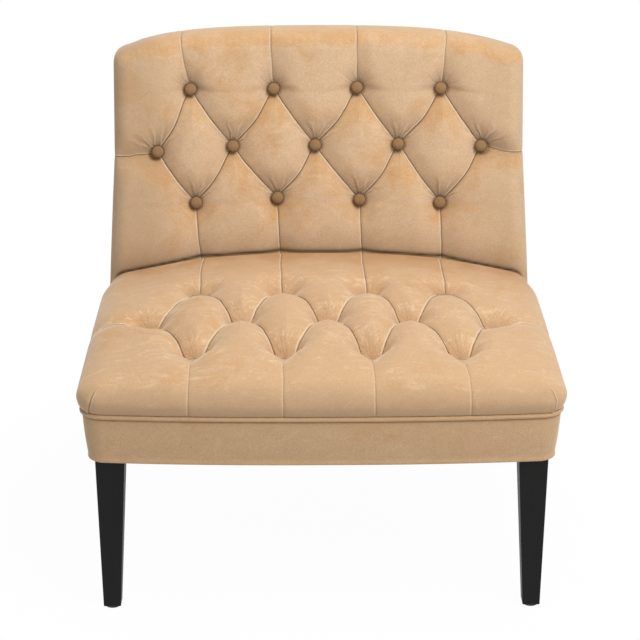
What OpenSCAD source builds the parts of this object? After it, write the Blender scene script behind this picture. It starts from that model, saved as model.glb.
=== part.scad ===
// Armless lounge chair with a deep buttoned back and a blind tufted seat.
// X runs across the chair, the sitter faces -Y, and Z rises from the floor.
// Depths, called v, are measured from the foremost point of the seat.
// Left and right are as seen by someone who looks at the front of the chair.

/* [Seat] */
// Widest width of the seat cushion
seat_w = 744; // [715:1:800]
// Depth of the seat along its middle, from its foremost point to the back
seat_d = 536; // [500:1:600]
// How far the front bows forward between its corners
front_bow = 12; // [4:1:18]
// Radius of the front corners at the welt, seen from above
corner_r = 40; // [36:1:48]
// Height of the crown of the seat above the seat frame
seat_crown_h = 101; // [92:1:120]
// Height above the seat frame at which the cushion is widest
seat_wide_h = 35; // [28:1:42]
// Width of the rounded shoulder of the seat
seat_shoulder_w = 45; // [38:1:52]
// Height above the seat frame of the line where the seat meets the back
seat_line_h = 93; // [86:1:100]

/* [Seat tufts] */
// Distance of the outer tufts from the sides of the seat
seat_tuft_side = 96; // [84:1:110]
// Depth of the front row of tufts behind the front of the seat
seat_row_v = 150; // [135:1:165]
// Distance of the rear row of tufts from the back, along the middle
seat_row_rear = 166; // [150:1:180]
// Height above the seat frame of the bottom of the front tufts
seat_tuft_h = 47; // [44:1:54]
// Rise of the tuft bottoms from one row to the next
seat_tuft_rise = 15.5; // [10:0.5:20]

/* [Back] */
// Height of the back above the line where the seat meets it
back_rise = 368; // [355:1:420]
// Distance of the sides of the back, at its top, inside the sides of the seat
back_side_set = 21; // [14:1:27]
// Angle of the back from the vertical
back_rake = 14; // [11:0.5:16]
// Thickness of the back at the top
back_top_t = 86; // [82:1:100]
// Thickness of the back where the seat meets it
back_seat_t = 112; // [108:1:130]
// How far the back is hollowed across its width
back_bow = 30; // [15:1:36]
// Height above the seat line from which the back keeps its width
back_waist_rise = 180; // [120:1:220]
// Radius of the rolled edge of the back
back_roll_r = 28; // [24:1:30]
// Fall of the arched top edge towards its ends
back_arch = 29; // [12:1:36]

/* [Back buttons] */
// Diameter of a covered button
button_d = 22; // [18:1:23]
// Thickness of a covered button
button_t = 8.5; // [6:0.5:10]
// Distance of the outer buttons from the sides of the back
button_side = 67; // [60:1:80]
// Distance of the top row of buttons below the top of the back
button_top_gap = 99; // [92:1:106]
// Distance of the bottom row of buttons above the line where the seat meets the back
button_low_gap = 85; // [80:1:92]
// Depth of a buttoned dimple below the crown of the back
button_sink = 26; // [20:1:27]

/* [Legs] */
// Height of the legs with their glides
leg_h = 252; // [200:1:300]
// Width of a leg at its top
leg_top_w = 45; // [42:1:50]
// Width of a leg at its foot
leg_foot_w = 27; // [25:1:36]
// How far the outer faces of a leg draw in from top to foot
leg_outer_draft = 4; // [0:1:8]
// Distance of the outer faces of the legs inside the widest line of the band
leg_side_inset = 22.5; // [18:0.5:28]
// Depth of the front faces of the front legs
front_leg_v = 34; // [33:1:40]
// How far the feet of the rear legs stand behind their tops
rear_leg_kick = 58; // [30:1:70]
// Diameter of a foot glide
glide_d = 24; // [18:1:25]
// Thickness of a foot glide
glide_t = 3; // [2:0.5:5]

/* [Frame] */
// Height of the seat rails
rail_h = 75; // [70:1:95]
// Thickness of the seat rails
rail_t = 24; // [22:1:28]
// Thickness of the padding outside the rails at the welt
band_top_t = 14; // [12:1:18]
// How much the band draws in towards its lower edge
band_draft = 7; // [2:1:9]
// Width of a back post, across the chair
post_w = 30; // [28:1:36]
// Height of the lower back rail
lower_rail_h = 50; // [35:1:56]
// Height of the seat frame above which the lower back rail starts
lower_rail_gap = 103; // [100:1:108]
// Height of the lower edge of the top back rail above the top row of buttons
top_rail_gap = 22; // [18:1:30]
// Thickness of the back rails
back_rail_t = 20; // [16:1:21]

/* [Upholstery] */
// Diameter of the welt
welt_d = 8; // [6:0.5:9]
// Thickness of the back cushion in front of its foam
back_pad_t = 31; // [30:1:34]
// Thickness of the back foam
back_foam_t = 22; // [18:1:24]
// Width of the padding at the sides and bottom of the seat cushion
seat_wall = 40; // [34:1:44]
// Height of the seat foam at the front row of tufts
seat_foam_h = 26; // [20:1:30]
// Rise of the top of the seat foam from one row of tufts to the next
seat_foam_rise = 5; // [0:0.5:6]
// Thickness of one layer of webbing
web_t = 1.5; // [1:0.25:2]
// Width of a webbing strip
web_w = 50; // [40:1:60]
// Thickness of the hessian
hessian_t = 1; // [0.75:0.25:1.5]
// Thickness of the outside back cover
outside_t = 3; // [2:0.5:4]
// Thickness of the back panel board
panel_t = 3; // [2:0.5:4]
// Thickness of the dust cover
dust_t = 1; // [0.5:0.25:1.5]
// Diameter of the tuft ties
tie_d = 2; // [1.5:0.25:3]
// Diameter of the toggles that hold the ties
toggle_d = 20; // [14:1:24]
// Thickness of a toggle
toggle_t = 3; // [2:0.5:4]

/* [Fasteners] */
// Diameter of the dowels
dowel_d = 8; // [6:1:10]
// Length of a dowel
dowel_l = 40; // [36:1:44]
// Diameter of the bolts of the posts and legs
bolt_d = 8; // [6:1:9]
// Length of a hanger bolt, half in the leg and half in the frame
hanger_l = 60; // [50:1:70]
// Outer diameter of the threaded inserts
insert_d = 12; // [11:0.5:13]
// Length of the threaded inserts
insert_l = 20; // [16:1:24]
// Diameter of the corner block screws
screw_d = 4; // [3:0.5:5]
// Length of the corner block screws
screw_l = 55; // [50:1:58]

/* [Hidden] */
// Clearance between pieces that lie against each other
fit = 0.3;
// Clearance of round pins in their holes, on the radius
pin_fit = 0.15;
// Clearance of the seat in front of the back
seat_back_fit = 0.6;
// Overrun of a cut past the face that it opens
over = 2;
// How much the seat bulges past the welt
seat_bulge = 4;
// How much the seat draws in again above the welt, and the gap that it leaves there
seat_tuck = 5;
seat_tuck_gap = 1.3;
// How much the rolled edge of the back eases down to the outside back
edge_ease = 4;
// Thickness of the padding over the edges of the back
back_wall = 18;
// Narrowing of the seat beside the back, and the depth over which it happens
seat_nip = 11;
seat_nip_reach = 70;
// Depth at which the seat crown is highest, in front of the back
seat_crown_reach = 136;
// Fall of the seat crown from there to the front shoulder
seat_crown_fall = 36;
// Share of the crown that the seat loses at its sides
side_fall_share = 0.8;
// Powers that shape the front bow, the arch of the back and the fall of the seat's sides
bow_power_share = 2.4;
arch_power_share = 3.5;
side_power_share = 3;

// Shape of the tufting
dimple_reach = 16;
pleat_reach = 30;
pillow_reach = 50;
pleat_depth_share = 0.42;
dimple_power_share = 1.6;
edge_pleat = 2.5;

// Frame details
block_l = 90;
block_h = 40;
rear_block_l = 50;
block_nose = 18;
bolt_inset = 10;
post_bolt_v = 15;
dowel_rise = 20;
hanger_grip_share = 0.55;
head_d = 18;
head_t = 4.5;
nut_t = 6.5;
nut_w = 13;
washer_d = 18;
washer_t = 1.6;
screw_head_d = 8;
screw_head_t = 3;
screw_bite = 18;
glide_pin_d = 5;
glide_pin_l = 15;
button_shank_d = 3;
dust_inset = 18;
leg_gap = 1.5;
rear_leg_set = 4;
panel_inset = 30;

// The middle tuft row has one tuft more than its neighbours. Its tufts lie at the
// even marks, half a pitch apart, and those of its neighbours at the odd marks.
mark_count = 4;
grid_share = 0.25;
corner_count = 3;
// Marks from the last tuft to the sides of the face, on the back and on the seat
back_side_share = 0.5;
seat_side_share = 0.75;
// Rows from the middle row to the ends of the face: up the back, down it, and on the seat
back_top_share = 1.75;
back_low_share = 2.4;
seat_rear_share = 2.5;
seat_front_share = 1.75;
// Last row with tufting below or behind the tufts
row_count = 2;

// Levels
frame_z = leg_h + rail_h;
welt_z = frame_z + welt_d / 2;
web_z = frame_z;
hessian_z = web_z + 2 * web_t;
seat_base_z = hessian_z + hessian_t + fit;
back_base_z = frame_z + welt_d + fit;
seat_wide_z = frame_z + seat_wide_h;
seat_line_z = frame_z + seat_line_h;
overall_h = seat_line_z + back_rise;
back_waist_z = seat_line_z + back_waist_rise;
button_low_z = seat_line_z + button_low_gap;
button_row_pitch = (overall_h - button_top_gap - button_low_z) / 2;
button_row_z = button_low_z + button_row_pitch;
seat_row_pitch = (seat_d - seat_row_v - seat_row_rear) / 2;
ceiling_z = hessian_z + hessian_t + fit + seat_foam_h;
ceiling_slope = seat_foam_rise / seat_row_pitch;
tuft_slope = seat_tuft_rise / seat_row_pitch;

// Plan of the seat and the back
seat_half = seat_w / 2;
back_w = seat_w - 2 * back_side_set;
seat_tuft_pitch = 2 * (seat_half - seat_tuft_side) / mark_count;
button_pitch = 2 * (back_w / 2 - button_side) / mark_count;
welt_half = seat_half - seat_bulge;
leg_outer_x = welt_half - leg_side_inset;
bow_end = welt_half - corner_r;
band_v = seat_bulge;
rail_inset = welt_d / 2 + band_top_t;
rail_out_x = welt_half - rail_inset;
rail_in_x = rail_out_x - rail_t;
front_rail_v = band_v + front_bow + rail_inset + rail_t;
post_out_x = rail_in_x;
post_in_x = post_out_x - post_w;

// Layers of the back, measured square to its slope from the crown
foam_n = back_pad_t + fit;
hessian_n = foam_n + back_foam_t;
across_n = hessian_n + hessian_t;
up_n = across_n + web_t;
wood_n = up_n + web_t;

function frame_slope() = tan(back_rake);
function hollow(x) = back_bow * pow(2 * x / back_w, 2);
function hollow_turn(x) = 8 * back_bow * x / pow(back_w, 2);
function crown_v(z) = seat_d + (z - seat_line_z) * frame_slope();
rear_low_v = seat_d + back_seat_t;
rear_high_v = crown_v(overall_h) + back_top_t;
rear_slope = (rear_high_v - rear_low_v) / (overall_h - seat_line_z);
rear_rake = atan(rear_slope);
function rear_v(z) = rear_low_v + (z - seat_line_z) * rear_slope;
chair_d = rear_v(overall_h - edge_ease);

function clamp(a, low, high) = min(high, max(low, a));
function smooth(t) = let (c = clamp(t, 0, 1)) c * c * (3 - 2 * c);
function mix(a, b, t) = a + (b - a) * t;
function marks(from, to) = [for (m = [from : 2 : to]) m];

// Tufts: places and pleats in marks across and rows up
mid_marks = marks(-mark_count, mark_count);
side_marks = marks(1 - mark_count, mark_count - 1);
far_count = 2 * mark_count;
tufts = concat(
    [for (p = mid_marks) [p, 0]],
    [for (q = [-1, 1]) for (p = side_marks) [p, q]]);
pleats = concat(
    [for (q = [-1, 1]) for (p = side_marks) for (s = [-1, 1]) [[p, q], [p + s, 0]]],
    [for (q = [-1, 1]) for (p = side_marks) [[p, q], [p, q * far_count]]],
    [for (s = [-1, 1]) [[s * mark_count, 0], [s * far_count, 0]]]);

// Distance from a place to a pleat, with both in marks and rows of the given sizes
function span(a, half, row) = norm([a.x * half, a.y * row]);
function line_gap(a, ends, half, row) =
    let (u = [(ends[1].x - ends[0].x) * half, (ends[1].y - ends[0].y) * row],
         w = [(a.x - ends[0].x) * half, (a.y - ends[0].y) * row],
         t = clamp((u * w) / (u * u), 0, 1))
    norm(w - t * u);
function tuft_gap(a, half, row) = min([for (t = tufts) span(a - t, half, row)]);
function pleat_gap(a, half, row) = min([for (e = pleats) line_gap(a, e, half, row)]);

// How far the surface is drawn in at a place: 1 in a tuft, 0 on a full pillow
function draw_in(a, half, row) =
    let (r = tuft_gap(a, half, row),
         d = min(pleat_gap(a, half, row) / pillow_reach, 1),
         dimple = exp(-pow(r / dimple_reach, dimple_power_share)),
         pleat = mix(pleat_depth_share, 1, exp(-r / pleat_reach)),
         valley = 1 - sqrt(1 - pow(1 - d, 2)))
    1 - (1 - dimple) * (1 - pleat * valley);

// Whether a cell of the grid is split along the rising diagonal, as its nearest pleat runs
function near_pleat(a) = abs(a - round(a));
function rising(p, q) = near_pleat((p - q) / 2) < near_pleat((p + q) / 2);

// Walk round the three closed sides of a grid: column, row and outward direction
function rim_walk(last_i, last_j) = concat(
    [for (j = [0 : last_j]) [0, j, 180]],
    [for (k = [1 : corner_count]) [0, last_j, 180 - 90 * k / (corner_count + 1)]],
    [for (i = [0 : last_i]) [i, last_j, 90]],
    [for (k = [1 : corner_count]) [last_i, last_j, 90 - 90 * k / (corner_count + 1)]],
    [for (j = [last_j : -1 : 0]) [last_i, j, 0]]);

function turned(face, flip) = flip ? [face[2], face[1], face[0]] : face;

// Closed padded shell: a face of tufted rows, rings that carry its rim round to the inside,
// and the inner edge on its open side
module shell(face, marks_p, marks_q, rings, inner_edge, flip) {
    last_i = len(face[0]) - 1;
    last_j = len(face) - 1;
    walk = rim_walk(last_i, last_j);
    count = len(walk);
    ring_base = len(face) * len(face[0]);
    edge_base = ring_base + len(rings) * count;
    first_top = last_j + corner_count + 1;
    last_top = first_top + last_i;
    last_ring = len(rings);
    function cell(i, j) = j * (last_i + 1) + i;
    function at(k, m) = k == 0 ? cell(walk[m][0], walk[m][1]) : ring_base + (k - 1) * count + m;
    face_tris = [for (j = [0 : last_j - 1]) for (i = [0 : last_i - 1])
        let (a = cell(i, j), b = cell(i, j + 1), c = cell(i + 1, j + 1), d = cell(i + 1, j),
             p = (marks_p[i] + marks_p[i + 1]) / 2, q = (marks_q[j] + marks_q[j + 1]) / 2)
        each rising(p, q) ? [[a, b, c], [a, c, d]] : [[a, b, d], [b, c, d]]];
    ring_tris = [for (k = [0 : last_ring - 1]) for (m = [0 : count - 2])
        each at(k, m) == at(k, m + 1)
            ? [[at(k, m), at(k + 1, m), at(k + 1, m + 1)]]
            : [[at(k, m), at(k + 1, m), at(k + 1, m + 1)],
               [at(k, m), at(k + 1, m + 1), at(k, m + 1)]]];
    wall_tris = [for (i = [0 : last_i - 1])
        let (m = first_top + i, a = at(last_ring, m), b = at(last_ring, m + 1))
        each [[a, edge_base + i, edge_base + i + 1], [a, edge_base + i + 1, b]]];
    side_tris = concat(
        [for (m = [0 : first_top - 1]) [at(last_ring, m), edge_base, at(last_ring, m + 1)]],
        [for (m = [last_top : count - 2])
            [at(last_ring, m), edge_base + last_i, at(last_ring, m + 1)]]);
    end_tris = [for (i = [0 : last_i - 1])
        each [[cell(i, 0), cell(i + 1, 0), edge_base + i + 1],
              [cell(i, 0), edge_base + i + 1, edge_base + i]]];
    left = at(last_ring, 0);
    right = at(last_ring, count - 1);
    left_end = concat([[left, cell(0, 0), edge_base]],
        [for (k = [0 : last_ring - 2]) [left, at(k + 1, 0), at(k, 0)]]);
    right_end = concat([[right, edge_base + last_i, cell(last_i, 0)]],
        [for (k = [0 : last_ring - 2]) [right, at(k, count - 1), at(k + 1, count - 1)]]);
    all_tris = concat(face_tris, ring_tris, wall_tris, side_tris, end_tris, left_end, right_end);
    polyhedron(
        points = concat([for (row = face) each row], [for (ring = rings) each ring], inner_edge),
        faces = [for (t = all_tris) turned(t, flip)]);
}

module in_place() translate([0, -chair_d / 2, 0]) children();

// Frame that leans with the front of the back: its Y is square to the slope, its Z runs up it
module leaning() translate([0, seat_d, seat_line_z]) rotate([-back_rake, 0, 0]) children();
function slope_up(x, z) = (z - seat_line_z) / cos(back_rake) - hollow(x) * sin(back_rake);

// Frame that leans with the outside of the back
module leaning_rear() translate([0, rear_low_v, seat_line_z]) rotate([-rear_rake, 0, 0]) children();

// Plan outline of the front and sides at the welt: place and outward direction
bow_count = 14;
arc_count = 8;
function bow_at(x) = front_bow * pow(abs(x) / bow_end, bow_power_share);
bow_turn = atan(front_bow * bow_power_share / bow_end);
corner_v = band_v + bow_at(bow_end + corner_r * sin(bow_turn));
function plan_half(rear) = concat(
    [[welt_half, rear, 0]],
    [for (k = [0 : arc_count])
        let (a = k * (90 - bow_turn) / arc_count)
        [bow_end + corner_r * cos(a), corner_v + corner_r * (cos(bow_turn) - sin(a)), a]],
    [for (k = [1 : bow_count - 1])
        let (x = bow_end * (1 - k / bow_count),
             turn = atan(front_bow * bow_power_share * pow(x / bow_end, bow_power_share - 1) / bow_end))
        [x, band_v + bow_at(x), 90 - turn]],
    [[0, band_v, 90]]);
function plan(rear) = let (half = plan_half(rear), last = len(half) - 1)
    concat(half, [for (k = [last - 1 : -1 : 0]) [-half[k].x, half[k].y, 180 - half[k].z]]);
function inset(p, d) = [p.x - d * cos(p.z), p.y + d * sin(p.z)];
function outline(rear, d) = [for (p = plan(rear)) inset(p, d)];

// Half width of the back and of the band at a height
function back_half(z) =
    mix(back_w / 2, welt_half - welt_d / 2, clamp((back_waist_z - z) / (back_waist_z - frame_z), 0, 1));
function band_inset(z) = welt_d / 2 + band_draft * (frame_z - z) / rail_h;
function arch(x) = back_arch * pow(abs(x) / (back_w / 2 - back_roll_r / 2), arch_power_share);
function side_rear(z, x) = rear_v(z) - hollow(x) - (outside_t + fit) / cos(rear_rake);

// Back cushion
back_edge_mark = mark_count + back_side_share;
back_p = [for (p = [-back_edge_mark : grid_share : back_edge_mark]) p];
back_low_q = (back_base_z - button_row_z) / button_row_pitch;
back_q = concat([back_low_q, -back_low_share], [for (q = [-row_count : grid_share : back_top_share]) q]);
function grid_top(x) = overall_h - back_roll_r - arch(x);
function back_x(p, z) =
    let (half = button_pitch / 2, edge = back_half(z) - back_roll_r, a = abs(p))
    sign(p) * (a <= mark_count ? a * half
        : mix(mark_count * half, edge, (a - mark_count) / (back_edge_mark - mark_count)));
function back_z(q, x) = q <= 1 ? button_row_z + q * button_row_pitch
    : mix(button_row_z + button_row_pitch, grid_top(x), (q - 1) / (back_top_share - 1));
function flat_share(q) = smooth((q + back_low_share) / (back_low_share - row_count));
function back_point(p, q) =
    let (z0 = back_z(q, back_x(p, button_row_z)), x = back_x(p, z0), z = back_z(q, x),
         deep = button_sink * draw_in([p, q], button_pitch / 2, button_row_pitch) * flat_share(q))
    [x, crown_v(z) - hollow(x) + deep, z];
back_face = [for (q = back_q) [for (p = back_p) back_point(p, q)]];
back_walk = rim_walk(len(back_p) - 1, len(back_q) - 1);
function is_pleat_edge(p, q, side) = side ? q == 0 : abs(p) < mark_count && abs(p) % 2 == 1;
function edge_in(w) = let (side = w.z == 0 || w.z == 180)
    is_pleat_edge(back_p[w.x], back_q[w.y], side) ? edge_pleat : 0;
// Height at which the crown, without its tufts, meets the rim
function back_rim(w) = let (f = back_face[w.y][w.x]) [f.x, crown_v(f.z) - hollow(f.x), f.z];
function back_roll(w, out, deep) = let (f = back_rim(w), x = f.x + out * cos(w.z), z = f.z + out * sin(w.z))
    [x, crown_v(z) - hollow(x) + deep, z];
function settled(point) = [point.x, point.y, max(point.z, back_base_z)];
function roll_ring(a) = [for (w = back_walk)
    let (pull = edge_in(w))
    settled(back_roll(w, (back_roll_r - pull) * sin(a), back_roll_r * (1 - cos(a)) + pull * cos(a)))];
function rear_ring(out, back) = [for (w = back_walk)
    let (f = back_rim(w), x = f.x + out * cos(w.z), z = f.z + out * sin(w.z))
    settled([x, side_rear(z, x) - back, z])];
back_inner_v = back_pad_t / cos(back_rake);
function wall_ring(out) = [for (w = back_walk)
    let (f = back_rim(w), x = f.x + out * cos(w.z), z = f.z + out * sin(w.z))
    settled([x, crown_v(z) - hollow(x) + back_inner_v, z])];
back_rear_ring = rear_ring(back_roll_r - edge_ease, 0);
back_rings = [roll_ring(30), roll_ring(60), roll_ring(90), back_rear_ring,
    rear_ring(back_roll_r - back_wall, 0), wall_ring(back_roll_r - back_wall)];
back_inner_edge = [for (f = back_face[0])
    [f.x, crown_v(back_base_z) - hollow(f.x) + back_inner_v, back_base_z]];

module back_cushion() color("tan") in_place()
    shell(back_face, back_p, back_q, back_rings, back_inner_edge, false);

// Seat cushion
seat_edge_mark = mark_count + seat_side_share;
seat_p = [for (p = [-seat_edge_mark : grid_share : seat_edge_mark]) p];
seat_q = [for (q = [seat_rear_share : -grid_share : -seat_front_share]) q];
seat_mid_v = seat_row_v + seat_row_pitch;
seat_edge_x = seat_half - seat_shoulder_w;
function front_v(x) = front_bow * pow(min(abs(x) / bow_end, 1), bow_power_share);
function seat_x(p) = let (half = seat_tuft_pitch / 2, a = abs(p))
    sign(p) * (a <= mark_count ? a * half
        : mix(mark_count * half, seat_edge_x, (a - mark_count) / (seat_edge_mark - mark_count)));
function seat_rear_v(x, z) = crown_v(z) - hollow(x) - seat_back_fit;
function seat_plan_v(q, x, rear) = abs(q) <= 1 ? seat_mid_v + q * seat_row_pitch
    : q > 1 ? mix(seat_mid_v + seat_row_pitch, rear, (q - 1) / (seat_rear_share - 1))
    : mix(seat_mid_v - seat_row_pitch, front_v(x) + seat_shoulder_w, (-1 - q) / (seat_front_share - 1));
function seat_crown(x, v) =
    let (reach = seat_d - seat_crown_reach,
         fall = seat_crown_fall * pow((v - reach) / (reach - seat_shoulder_w), 2),
         side = 1 - side_fall_share * pow(abs(x) / seat_half, side_power_share))
    seat_wide_z + (seat_crown_h - seat_wide_h - fall) * side;
function tuft_level(v) = frame_z + seat_tuft_h + (v - seat_row_v) * tuft_slope;
function seat_point(p, q) =
    let (x = seat_x(p),
         rear0 = seat_rear_v(x, seat_line_z),
         v0 = seat_plan_v(q, x, rear0),
         v = q == seat_rear_share ? seat_rear_v(x, seat_crown(x, rear0)) : v0,
         crown = seat_crown(x, v0),
         plain = smooth((seat_rear_share - q) / (seat_rear_share - row_count)),
         pull = draw_in([p, q], seat_tuft_pitch / 2, seat_row_pitch) * plain)
    [x, v, crown - max(crown - tuft_level(v), 0) * pull];
seat_face = [for (q = seat_q) [for (p = seat_p) seat_point(p, q)]];
seat_walk = rim_walk(len(seat_p) - 1, len(seat_q) - 1);
function nip(v, x) = seat_nip * smooth((v - (seat_d - hollow(x) - seat_nip_reach)) / seat_nip_reach);
function seat_out(w, out) =
    let (f = seat_face[w.y][w.x], side = w.z == 0 || w.z == 180,
         pull = side ? (seat_q[w.y] == 0 ? edge_pleat : 0)
             : w.z == 90 && abs(seat_p[w.x]) < mark_count && abs(seat_p[w.x]) % 2 == 1 ? edge_pleat : 0,
         far = max(out - pull - (side ? nip(f.y, f.x) : 0), edge_pleat))
    [f.x + far * cos(w.z), f.y - far * sin(w.z)];
// A ring of the seat at a height, with its rear ends kept against the back
function seat_ring_point(w, out, z) =
    let (a = seat_out(w, out))
    [a.x, w.y == 0 ? seat_rear_v(a.x, z) : min(a.y, seat_rear_v(a.x, z)), z];
function shoulder_z(w, a) = let (f = seat_face[w.y][w.x]) mix(seat_wide_z, max(f.z, seat_wide_z + over), cos(a));
function shoulder_ring(a) = [for (w = seat_walk) seat_ring_point(w, seat_shoulder_w * sin(a), shoulder_z(w, a))];
function low_ring(tuck, z) = [for (w = seat_walk) seat_ring_point(w, seat_shoulder_w - tuck, z)];
function ceiling_at(v) = ceiling_z + (v - seat_row_v) * ceiling_slope;
function on_ceiling(points) = [for (a = points)
    let (z = ceiling_at(a.y)) [a.x, min(a.y, seat_rear_v(a.x, z)), z]];
seat_rim = low_ring(seat_wall, seat_base_z);
seat_rings = [shoulder_ring(30), shoulder_ring(62), shoulder_ring(90),
    low_ring(seat_tuck, frame_z + welt_d + seat_tuck_gap), seat_rim, on_ceiling(seat_rim)];
seat_inner_edge = [for (f = seat_face[0])
    let (v = seat_rear_v(f.x, seat_base_z), z = ceiling_at(v)) [f.x, v, z]];

module seat_cushion() color("tan") in_place()
    shell(seat_face, seat_p, seat_q, seat_rings, seat_inner_edge, true);

// Welt: an eight-sided cord swept round the front and sides
module welt_sweep() {
    side_count = 8;
    rear = side_rear(welt_z, welt_half);
    path = plan(rear);
    count = len(path);
    points = [for (p = path) for (k = [0 : side_count - 1])
        let (a = 360 * (k + 0.5) / side_count, out = welt_d / 2 * cos(a), c = inset(p, welt_d / 2 - out))
        [c.x, c.y, welt_z + welt_d / 2 * sin(a)]];
    skin = [for (i = [0 : count - 2]) for (k = [0 : side_count - 1])
        let (a = i * side_count + k, b = i * side_count + (k + 1) % side_count,
             c = b + side_count, d = a + side_count)
        each [[a, c, b], [a, d, c]]];
    last = (count - 1) * side_count;
    ends = [for (k = [1 : side_count - 2]) each [[0, k, k + 1], [last, last + k + 1, last + k]]];
    polyhedron(points = points, faces = concat(skin, ends));
}
module seat_welt() color("tan") in_place() welt_sweep();

// Band: padded cover strip outside the rails, drawn in towards its lower edge
module band_sweep() {
    low = leg_h + fit;
    high = frame_z - fit;
    path = plan(side_rear(leg_h, welt_half));
    count = len(path);
    in_d = rail_inset - fit;
    function ring(p, i) =
        let (at_end = i == 0 || i == count - 1,
             slide = at_end ? side_rear(high, welt_half) - side_rear(low, welt_half) : 0,
             a = inset(p, band_inset(low)), b = inset(p, band_inset(high)), c = inset(p, in_d))
        [[a.x, a.y, low], [b.x, b.y + slide, high], [c.x, c.y + slide, high], [c.x, c.y, low]];
    points = [for (i = [0 : count - 1]) each ring(path[i], i)];
    skin = [for (i = [0 : count - 2]) for (k = [0 : 3])
        let (a = i * 4 + k, b = i * 4 + (k + 1) % 4, c = b + 4, d = a + 4)
        each [[a, c, b], [a, d, c]]];
    last = (count - 1) * 4;
    ends = [[0, 1, 2], [0, 2, 3], [last, last + 2, last + 1], [last, last + 3, last + 2]];
    polyhedron(points = points, faces = concat(skin, ends));
}
module seat_band() color("tan") in_place() band_sweep();

// Outside back: a thin hollowed cover inside the outline of the back's rear edge
outside_outline = concat(
    [[-welt_half + band_inset(leg_h), leg_h + fit], [-welt_half + band_inset(frame_z), frame_z]],
    [for (a = back_rear_ring) [a.x, a.z]],
    [[welt_half - band_inset(frame_z), frame_z], [welt_half - band_inset(leg_h), leg_h + fit]]);
hollow_count = 24;
// Plan of a hollowed slab between two depths, square to a slope of the given rake
module hollow_slab(reach, near, far, rake) {
    xs = [for (k = [-hollow_count : hollow_count]) seat_half * k / hollow_count];
    intersection() {
        polygon(concat(
            [for (x = xs) [x, near - hollow(x) * cos(rake)]],
            [for (k = [len(xs) - 1 : -1 : 0]) [xs[k], far - hollow(xs[k]) * cos(rake)]]));
        translate([-reach, -seat_d]) square([2 * reach, 2 * seat_d]);
    }
}
module outside_back() color("tan") in_place() intersection() {
    leaning_rear() translate([0, 0, -seat_line_z])
        linear_extrude(height = 2 * overall_h) hollow_slab(seat_half, -outside_t, 0, rear_rake);
    translate([0, 2 * chair_d, 0]) rotate([90, 0, 0])
        linear_extrude(height = 2 * chair_d) polygon(outside_outline);
}

// Back panel: a board behind the posts, under the outside cover
module back_panel() color("peru") in_place() {
    low = (frame_z + panel_inset - seat_line_z) / cos(rear_rake);
    high = (overall_h - back_roll_r - back_arch - seat_line_z) / cos(rear_rake);
    leaning_rear() translate([0, 0, low]) linear_extrude(height = high - low)
        hollow_slab(post_out_x, -outside_t - fit - panel_t, -outside_t - fit, rear_rake);
}

// Seat frame
module front_rail_plan() {
    outer = [for (a = outline(front_rail_v, rail_inset)) if (a.y <= front_rail_v) a];
    polygon(outer);
}
module front_seat_rail() color("burlywood") in_place() difference() {
    translate([0, 0, leg_h]) linear_extrude(height = rail_h) front_rail_plan();
    for (s = [-1, 1]) {
        side_dowels(s, pin_fit);
        block_screws(s, pin_fit);
    }
}
rail_rear_v = side_rear(leg_h, rail_out_x) - fit;
module side_rail(s) in_place() difference() {
    translate([s > 0 ? rail_in_x : -rail_out_x, front_rail_v, leg_h])
        cube([rail_t, rail_rear_v - front_rail_v, rail_h]);
    side_dowels(s, pin_fit);
    block_screws(s, pin_fit);
    post_bolt_places(s) post_bolt(pin_fit);
}
module left_seat_rail() color("burlywood") side_rail(-1);
module right_seat_rail() color("burlywood") side_rail(1);

// Rear rail: flat inside, hollowed like the back outside, between the posts
rear_rail_t = rail_t + rail_t / 3;
rear_rail_back_v = rear_v(leg_h) - (outside_t + fit + panel_t) / cos(rear_rake);
rear_rail_v = rear_rail_back_v - hollow(post_in_x) - rear_rail_t;
module rear_seat_rail() color("burlywood") in_place() difference() {
    xs = [for (k = [-hollow_count : hollow_count]) post_in_x * k / hollow_count];
    translate([0, 0, leg_h]) linear_extrude(height = rail_h) polygon(concat(
        [for (x = xs) [x, rear_rail_back_v - hollow(x)]],
        [[post_in_x, rear_rail_v], [-post_in_x, rear_rail_v]]));
    for (s = [-1, 1]) rear_dowels(s, pin_fit);
}

// Corner blocks: two in the front corners, two between the posts and the rear rail
block_x = rail_in_x;
module block_plan(length) polygon([[0, 0], [-length, 0], [-length, block_nose],
    [-block_nose, length], [0, length]]);
module front_block(s) translate([0, front_rail_v, leg_h]) mirror([s < 0 ? 1 : 0, 0, 0])
    translate([block_x, 0, 0]) linear_extrude(height = block_h) block_plan(block_l);
module rear_block(s) translate([0, rear_rail_v, leg_h]) mirror([s < 0 ? 1 : 0, 0, 0])
    translate([post_in_x, 0, 0]) mirror([0, 1, 0]) linear_extrude(height = block_h / 2)
        block_plan(rear_block_l);
module corner_blocks() color("burlywood") in_place() for (s = [-1, 1]) {
    difference() {
        front_block(s);
        leg_place(s, front_bolt_v) insert_hole();
        block_screws(s, pin_fit);
    }
    rear_block(s);
}

// Screws of the front corner blocks: one into the front rail, one into the side rail
screw_z = leg_h + block_h / 2;
screw_reach = block_l - 2 * block_nose;
module screw(grow) {
    translate([0, 0, grow > 0 ? -screw_l : 0]) cylinder(d = screw_head_d + 2 * grow,
        h = screw_head_t + (grow > 0 ? screw_l : 0), $fn = 32);
    cylinder(d = screw_d + 2 * grow, h = screw_l + grow, $fn = 32);
}
module block_screws(s, grow) {
    translate([s * (block_x - screw_reach), front_rail_v + screw_l - screw_bite, screw_z])
        rotate([90, 0, 0]) screw(grow);
    translate([s * (block_x - screw_l + screw_bite), front_rail_v + screw_reach, screw_z])
        rotate([0, s * 90, 0]) screw(grow);
}
module corner_block_screws() color("silver") in_place() for (s = [-1, 1]) block_screws(s, 0);

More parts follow.
